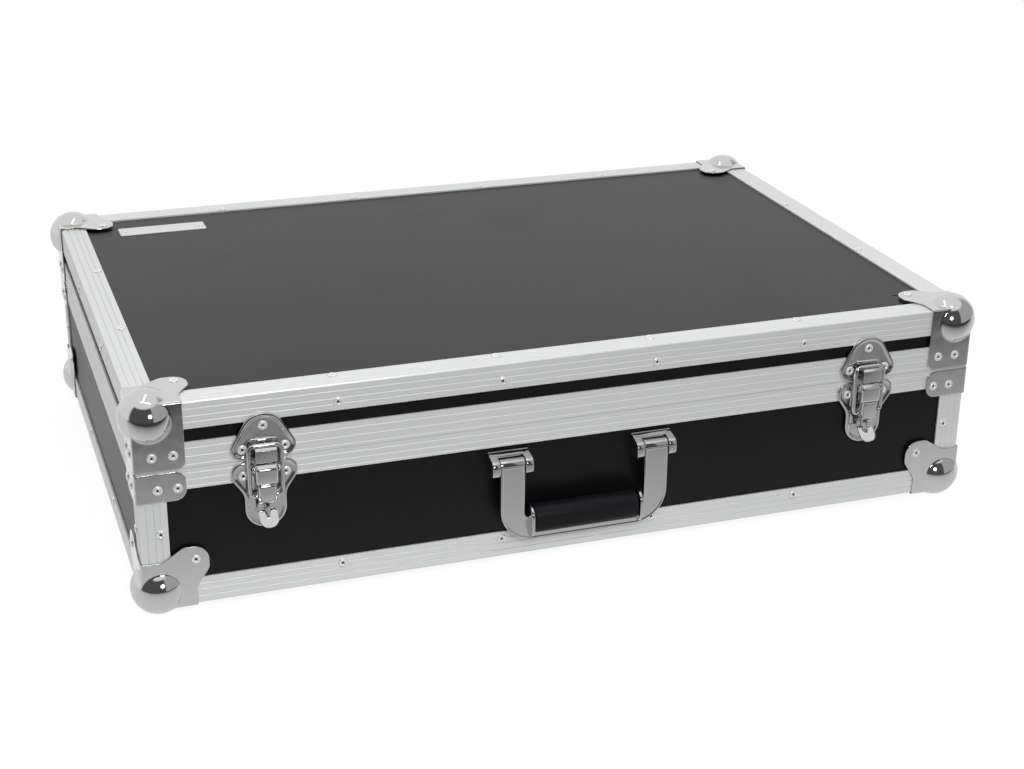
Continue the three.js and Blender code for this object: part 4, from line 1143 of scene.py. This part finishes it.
HINGE_HALF, LEAF_THICK, LEAF_ROUND = 30.0, 1.5, 3.0
BASE_LEAF_DROP, LID_LEAF_RISE, LEAF_STEP = 19.0, 18.0, 3.3
LID_KNUCKLE_HALF, BASE_KNUCKLE_NEAR = 9.7, 10.3
KNUCKLE_RADIUS, HINGE_PIN, HINGE_BORE, PIN_STANDS_OUT = 3.0, 1.3, 1.6, 0.5


def hinges():
    """Butt hinges: a base leaf with two knuckles and the pin, a lid leaf with the middle one."""
    near, far = BASE_KNUCKLE_NEAR, HINGE_HALF
    base_leaf = symmetric([
        (far, -BASE_LEAF_DROP, LEAF_ROUND), (far, 0.0), (near, 0.0), (near, -LEAF_STEP)])
    lid_leaf = symmetric([
        (LID_KNUCKLE_HALF, 0.0), (LID_KNUCKLE_HALF, LEAF_STEP), (far, LEAF_STEP),
        (far, LID_LEAF_RISE, LEAF_ROUND)])
    for side, x in HINGE_PLACES.items():
        origin = (x, CASE_BACK, PARTING + HINGE_RISE)
        where = place(origin, (-1, 0, 0), (0, 0, 1), (0, 1, 0))
        pin = where @ Matrix.Translation((0, 0, HINGE_OUT))
        parts = [slab("leaf", base_leaf, SEAT_GAP, SEAT_GAP + LEAF_THICK, where, edge=0.35)]
        for low, high in ((-far, -near), (near, far)):
            parts.append(rod("knuckle", KNUCKLE_RADIUS, low, high, pin, edge=0.25))
        parts.append(rod("pin", HINGE_PIN, -far - PIN_STANDS_OUT, far + PIN_STANDS_OUT, pin))
        leaf = joined(f"hinge base leaf {side}", parts)
        finished(leaf, NICKEL, "base", "nickel", f"hinge_leaf_base_{side}")
        parts = [
            slab("leaf", lid_leaf, SEAT_GAP, SEAT_GAP + LEAF_THICK, where, edge=0.35),
            rod("knuckle", KNUCKLE_RADIUS, -LID_KNUCKLE_HALF, LID_KNUCKLE_HALF, pin, edge=0.25),
        ]
        bore = rod("bore", HINGE_BORE, -THROUGH, THROUGH, pin, edge=0.1)
        leaf = joined(f"hinge lid leaf {side}", parts, [bore])
        finished(leaf, NICKEL, "lid", "nickel", f"hinge_leaf_lid_{side}")


# Rivets, kept for each body as (spot, facing) in the row frame

rivets = {"base": [], "lid": []}
RIVET_SIZES = {"Head Radius": 4.0 * MM, "Bore Radius": 0.95 * MM, "Head Height": 1.3 * MM,
               "Sides": 18}
# Edge angles: from the left, from the front and the back, up from the foot, and in on the flat legs
ALONG_WIDTH, ALONG_DEPTH = (156.0, 288.0, 419.0, 551.0), 166.0
LID_EDGE_HEIGHT, BASE_EDGE_HEIGHT, FLAT_LEG_IN = 154.2, 16.0, 17.0
# Uprights, braces and upright faces of the corners: body, along, up from the foot, out
UPRIGHT_RIVETS = (
    ("base", 16.0, 63.0, 0.0), ("base", 15.8, 100.5, FOLD), ("base", 30.9, 100.5, FOLD),
    ("base", 41.0, 39.0, FOLD), ("lid", 13.0, 127.5, FOLD), ("lid", 29.0, 127.5, FOLD),
)
LOBE_RIVETS = (("base", 41.5, 41.5), ("lid", 38.8, 40.0))
# Fittings: across, and up from the parting line or the hinge pin
KEEPER_RIVETS = ((0.0, 28.3), (-16.3, 10.0), (16.3, 10.0))
LATCH_PLATE_RIVETS = ((-16.4, -11.7), (16.4, -11.7))
LEAF_RIVETS, BASE_LEAF_RIVET_DROP, LID_LEAF_RIVET_RISE = (-20.0, 0.0, 20.0), 12.5, 11.5
BARE_PLATE_RIVETS, BARE_PLATE_MIDDLE, BARE_PLATE_FACE = (54.6, 127.4), 422.0, 0.5
BARE_PLATE, BARE_PLATE_ROUND = (51.0, 411.5, 131.5, 433.0), 1.5
BARE_PLATE_BACK, BARE_PLATE_FRONT = 0.02, 0.6
FOAM_EDGE, FOAM_EDGE_STEPS = 2.5, 3


def rivet(body, spot, facing):
    rivets[body].append((Vector(spot), Vector(facing).normalized()))


def edge_rivets():
    """Rivets of the edge angles, one through each of their legs."""
    depth = CASE_BACK - CASE_FRONT
    lid_height, base_height = CASE_FOOT + LID_EDGE_HEIGHT, CASE_FOOT + BASE_EDGE_HEIGHT
    for x in [CASE_LEFT + along for along in ALONG_WIDTH]:
        for y, facing in ((CASE_FRONT, -1), (CASE_BACK, 1)):
            rivet("lid", (x, y - facing * FLAT_LEG_IN, CASE_TOP), (0, 0, 1))
            rivet("base", (x, y - facing * FLAT_LEG_IN, CASE_FOOT), (0, 0, -1))
            rivet("lid", (x, y, lid_height), (0, facing, 0))
            rivet("base", (x, y, base_height), (0, facing, 0))
    for y in [CASE_FRONT + along for along in (ALONG_DEPTH, depth - ALONG_DEPTH)]:
        for x, facing in ((CASE_LEFT, -1), (CASE_RIGHT, 1)):
            rivet("lid", (x - facing * FLAT_LEG_IN, y, CASE_TOP), (0, 0, 1))
            rivet("base", (x - facing * FLAT_LEG_IN, y, CASE_FOOT), (0, 0, -1))
            rivet("lid", (x, y, lid_height), (facing, 0, 0))
            rivet("base", (x, y, base_height), (facing, 0, 0))


def corner_rivets():
    """Rivets alike on both upright faces of each corner, and one in the lobe of each flat face."""
    for _, across, deep in CORNERS:
        places = {"base": corner_place(across, deep, 1), "lid": corner_place(across, deep, -1)}
        for body, along, height, out in UPRIGHT_RIVETS:
            where = places[body]
            level = height if body == "base" else CASE_TOP - CASE_FOOT - height
            for spot, facing in (
                ((along, -out, level), (0, -1, 0)),
                ((-out, along, level), (-1, 0, 0)),
            ):
                rivet(body, where @ Vector(spot), where.to_3x3() @ Vector(facing))
        for body, first, second in LOBE_RIVETS:
            where = places[body]
            out_of_flat = where.to_3x3() @ Vector((0, 0, -1))
            rivet(body, where @ Vector((first, second, -FOLD)), out_of_flat)


def fitting_rivets():
    """Rivets of the latches, the hinges and the bare plate."""
    for x in LATCH_PLACES.values():
        for body, spots in (("lid", KEEPER_RIVETS), ("base", LATCH_PLATE_RIVETS)):
            for across, height in spots:
                spot = (x + across, CASE_FRONT - PLATE_FACE, PARTING + height)
                rivet(body, spot, (0, -1, 0))
    leaf_face, pin_height = CASE_BACK + SEAT_GAP + LEAF_THICK, PARTING + HINGE_RISE
    for x in HINGE_PLACES.values():
        for across in LEAF_RIVETS:
            rivet("base", (x + across, leaf_face, pin_height - BASE_LEAF_RIVET_DROP), (0, 1, 0))
            rivet("lid", (x + across, leaf_face, pin_height + LID_LEAF_RIVET_RISE), (0, 1, 0))
    for x in BARE_PLATE_RIVETS:
        spot = (CASE_LEFT + x, CASE_FRONT + BARE_PLATE_MIDDLE, LID_BOARD + BARE_PLATE_FACE)
        rivet("lid", spot, (0, 0, 1))


def place_rivets():
    edge_rivets()
    corner_rivets()
    fitting_rivets()
    for body, spots in rivets.items():
        mesh = bpy.data.meshes.new(f"{body} rivet points")
        mesh.from_pydata([spot * MM for spot, _ in spots], [], [])
        facing = mesh.attributes.new("facing", "FLOAT_VECTOR", "POINT")
        for k, (_, way) in enumerate(spots):
            facing.data[k].vector = way
        points = new_object(f"{body} rivets", mesh)
        sizes_and_finishes = {**RIVET_SIZES, "Head Finish": RIVET, "Bore Shade Finish": BORE_SHADE}
        heads = grown(f"{body} rivets", points, RIVETS, sizes_and_finishes)
        heads.data.shade_smooth()
        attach(heads, body)


# Boards, edges, foam and the bare plate


def dress_frame():
    """The boards and extrusions are shown as the model has them, with their finishes."""
    for name, node in frame["nodes"].items():
        material = None
        if "panel" in name:
            material = LAMINATE
        elif name.startswith("upright_edge"):
            material = ALUMINIUM["z"]
        elif name.startswith(("edge_", "closure_")):
            material = ALUMINIUM["x" if name.endswith(("front", "back")) else "y"]
        if material:
            for k in range(len(node.data.materials)):
                node.data.materials[k] = material


def foam():
    """The foam as the model has it, with soft edges."""
    for node_name, name, body in (
        ("foam_lining", "soft lining", "base"),
        ("lid_foam_pad", "soft lid pad", "lid"),
    ):
        mesh = frame["nodes"][node_name].data.copy()
        work = bmesh.new()
        work.from_mesh(mesh)
        bmesh.ops.remove_doubles(work, verts=work.verts, dist=FOAM_WELD * MM)
        bmesh.ops.dissolve_limit(work, angle_limit=FLAT_WITHIN, verts=work.verts, edges=work.edges)
        work.to_mesh(mesh)
        work.free()
        pad = softened(new_object(name, mesh), FOAM_EDGE, FOAM_EDGE_STEPS)
        finished(pad, FOAM, body, "foam", node_name)


def bare_plate():
    """The small plate at the back of the lid, drawn from the lid's front left corner."""
    where = place((CASE_LEFT, CASE_FRONT, LID_BOARD), (1, 0, 0), (0, 1, 0), (0, 0, 1))
    outline = box_outline(*BARE_PLATE, BARE_PLATE_ROUND)
    plate = slab("bare plate", outline, BARE_PLATE_BACK, BARE_PLATE_FRONT, where, edge=0.2)
    finished(plate, ALUMINIUM["x"], "lid", "aluminium")


# Floor, light and camera, in metres

WHITE = (1, 1, 1, 1)
FLOOR_LEFT, FLOOR_RIGHT, FLOOR_NEAR, FLOOR_FAR = -2.6, 2.6, -1.3, 3.4
FLOOR_GREY, FLOOR_GLOW = (0.20, 0.20, 0.20, 1), 0.84
FLOOR_IN_METAL = {"From Min": -0.68, "From Max": -0.20, "To Min": 0.06, "To Max": 0.87}
TO_CAMERA, RIGHT_OF_CAMERA = (-0.330, -0.944, 0.0), (0.944, -0.330, 0.0)
# The dim room: its top by height, its sides by the turn from the camera, and how dark it is
ROOM_TOP, ROOM_LEFT, ROOM_RIGHT, ROOM_DARK = (0.70, 0.80), (-1.15, -0.90), (0.68, 0.78), 0.4
WALL_END, WALL_DARK = (2.2, 2.6), 0.5
CASE_MIDDLE, CASE_FACE = (0, 0, 0.1), (0, -0.2, 0.1)
LAMPS = (
    # name, at, aim, size, watts, shape
    ("front overhead strip", (-0.3, -0.75, 2.2), CASE_MIDDLE, (1.4, 0.16), 1.6, "RECTANGLE"),
    ("back overhead strip", (-0.3, 0.14, 2.2), CASE_MIDDLE, (1.4, 0.16), 1.6, "RECTANGLE"),
    ("front lamp", (-0.1, -1.4, 0.52), CASE_FACE, (0.28, 0.28), 2.6, "DISK"),
    ("front softbox", (-0.2, -1.5, 0.9), CASE_FACE, (1.0, 0.6), 21.0, "RECTANGLE"),
)
NOT_IN_REFLECTIONS = "front softbox"
# The camera, as solved from the photograph: millimetres and radians
FROM_FRONT_LEFT_FOOT = (-141.0, -1248.85, 704.3)
YAW, PITCH, ROLL = 0.3364, 0.3966, 0.0100
FOCAL_LENGTH, SENSOR_WIDTH = 64.39, 36.0


def floor():
    """A white floor. Seen in metal it dims towards the camera, as a table does past its light."""
    mesh = bpy.data.meshes.new("floor")
    mesh.from_pydata([
        (FLOOR_LEFT, FLOOR_NEAR, 0), (FLOOR_RIGHT, FLOOR_NEAR, 0),
        (FLOOR_RIGHT, FLOOR_FAR, 0), (FLOOR_LEFT, FLOOR_FAR, 0),
    ], [], [(0, 1, 2, 3)])
    material = bpy.data.materials.new("white floor")
    material.use_nodes = True
    tree = material.node_tree
    tree.nodes.clear()
    make = node_maker(tree)
    rays = make("ShaderNodeLightPath")
    mirrored = reckoned(
        make, "MAXIMUM", rays.outputs["Is Glossy Ray"], rays.outputs["Is Transmission Ray"])
    spot = make("ShaderNodeTexCoord").outputs["Object"]
    deep = make("ShaderNodeSeparateXYZ", (), {0: spot}).outputs["Y"]
    level = make("ShaderNodeMapRange", {"interpolation_type": "LINEAR"}, {
        "Value": deep, **FLOOR_IN_METAL})
    lift = reckoned(make, "MULTIPLY", rays.outputs["Is Camera Ray"], FLOOR_GLOW)
    diffuse = make("ShaderNodeBsdfDiffuse", (), {"Color": FLOOR_GREY})
    glow = make("ShaderNodeEmission", (), {"Color": WHITE, "Strength": lift})
    seen = make("ShaderNodeAddShader", (), {0: diffuse.outputs[0], 1: glow.outputs[0]})
    in_metal = make("ShaderNodeEmission", (), {"Color": WHITE, "Strength": level.outputs[0]})
    total = make("ShaderNodeMixShader", (), {
        "Fac": mirrored, 1: seen.outputs[0], 2: in_metal.outputs[0]})
    make("ShaderNodeOutputMaterial", (), {"Surface": total.outputs[0]})
    mesh.materials.append(material)
    new_object("floor", mesh)


def slope(make, value, low, high, to_low=0.0, to_high=1.0):
    """A smooth step from one level to another, between two values."""
    return make("ShaderNodeMapRange", {"interpolation_type": "SMOOTHSTEP"}, {
        "Value": value, "From Min": low, "From Max": high,
        "To Min": to_low, "To Max": to_high}).outputs[0]


def world():
    """White to the camera. The room is dark where the camera stands, half dark to its right."""
    setting = bpy.data.worlds.new("studio")
    bpy.context.scene.world = setting
    setting.use_nodes = True
    tree = setting.node_tree
    tree.nodes.clear()
    make = node_maker(tree)
    way = make("ShaderNodeTexCoord").outputs["Generated"]
    ahead, beside = (
        make("ShaderNodeVectorMath", {"operation": "DOT_PRODUCT"}, {0: way, 1: axis})
        for axis in (TO_CAMERA, RIGHT_OF_CAMERA)
    )
    turn = reckoned(make, "ARCTAN2", beside.outputs["Value"], ahead.outputs["Value"])
    height = make("ShaderNodeSeparateXYZ", (), {0: way}).outputs["Z"]
    below = slope(make, height, *ROOM_TOP, 1.0, 0.0)
    from_left = slope(make, turn, *ROOM_LEFT)
    to_right = slope(make, turn, *ROOM_RIGHT, 1.0, 0.0)
    fore = reckoned(make, "MULTIPLY", from_left, to_right)
    wall = reckoned(make, "MULTIPLY", from_left, slope(make, turn, *WALL_END, WALL_DARK, 0.0))
    dim = reckoned(make, "MULTIPLY_ADD", fore, ROOM_DARK, wall)
    bright = reckoned(make, "SUBTRACT", 1.0, reckoned(make, "MULTIPLY", dim, below))
    seen = make("ShaderNodeLightPath").outputs["Is Camera Ray"]
    level = reckoned(make, "MAXIMUM", bright, seen)
    sky = make("ShaderNodeBackground", (), {"Color": WHITE, "Strength": level})
    make("ShaderNodeOutputWorld", (), {"Surface": sky.outputs[0]})


def lamps():
    """Area lamps. The softbox lights the front, but isn't seen in reflections."""
    for name, at, aim, size, watts, shape in LAMPS:
        data = bpy.data.lights.new(name, "AREA")
        data.shape = shape
        data.size, data.size_y = size
        data.energy = watts
        lamp = new_object(name, data)
        facing = (Vector(at) - Vector(aim)).to_track_quat("Z", "Y").to_matrix().to_4x4()
        lamp.matrix_world = Matrix.Translation(Vector(at)) @ facing
        lamp.visible_glossy = name != NOT_IN_REFLECTIONS


def camera():
    """The camera at the photograph's place, held from the case's front left foot."""
    ahead = Vector((
        math.sin(YAW) * math.cos(PITCH), math.cos(YAW) * math.cos(PITCH), -math.sin(PITCH)))
    right = Vector((math.cos(YAW), -math.sin(YAW), 0.0))
    up = right.cross(ahead)
    across = right * math.cos(ROLL) + up * math.sin(ROLL)
    upward = up * math.cos(ROLL) - right * math.sin(ROLL)
    data = bpy.data.cameras.new("camera")
    data.lens, data.sensor_width, data.sensor_fit = FOCAL_LENGTH, SENSOR_WIDTH, "HORIZONTAL"
    obj = new_object("camera", data)
    matrix = Matrix((across, upward, -ahead)).transposed().to_4x4()
    corner = Vector((CASE_LEFT, CASE_FRONT, CASE_FOOT))
    matrix.translation = (corner + Vector(FROM_FRONT_LEFT_FOOT)) * MM
    obj.matrix_world = matrix
    bpy.context.scene.camera = obj


dress_frame()
ball_corners()
braces()
for latch_side, latch_x in LATCH_PLACES.items():
    keeper(latch_side, latch_x)
    latch_plate(latch_side, latch_x)
    bail(latch_side, latch_x)
    lever(latch_side, latch_x)
handle()
hinges()
foam()
bare_plate()
place_rivets()
floor()
world()
lamps()
camera()
bpy.context.scene.view_settings.view_transform = "Standard"
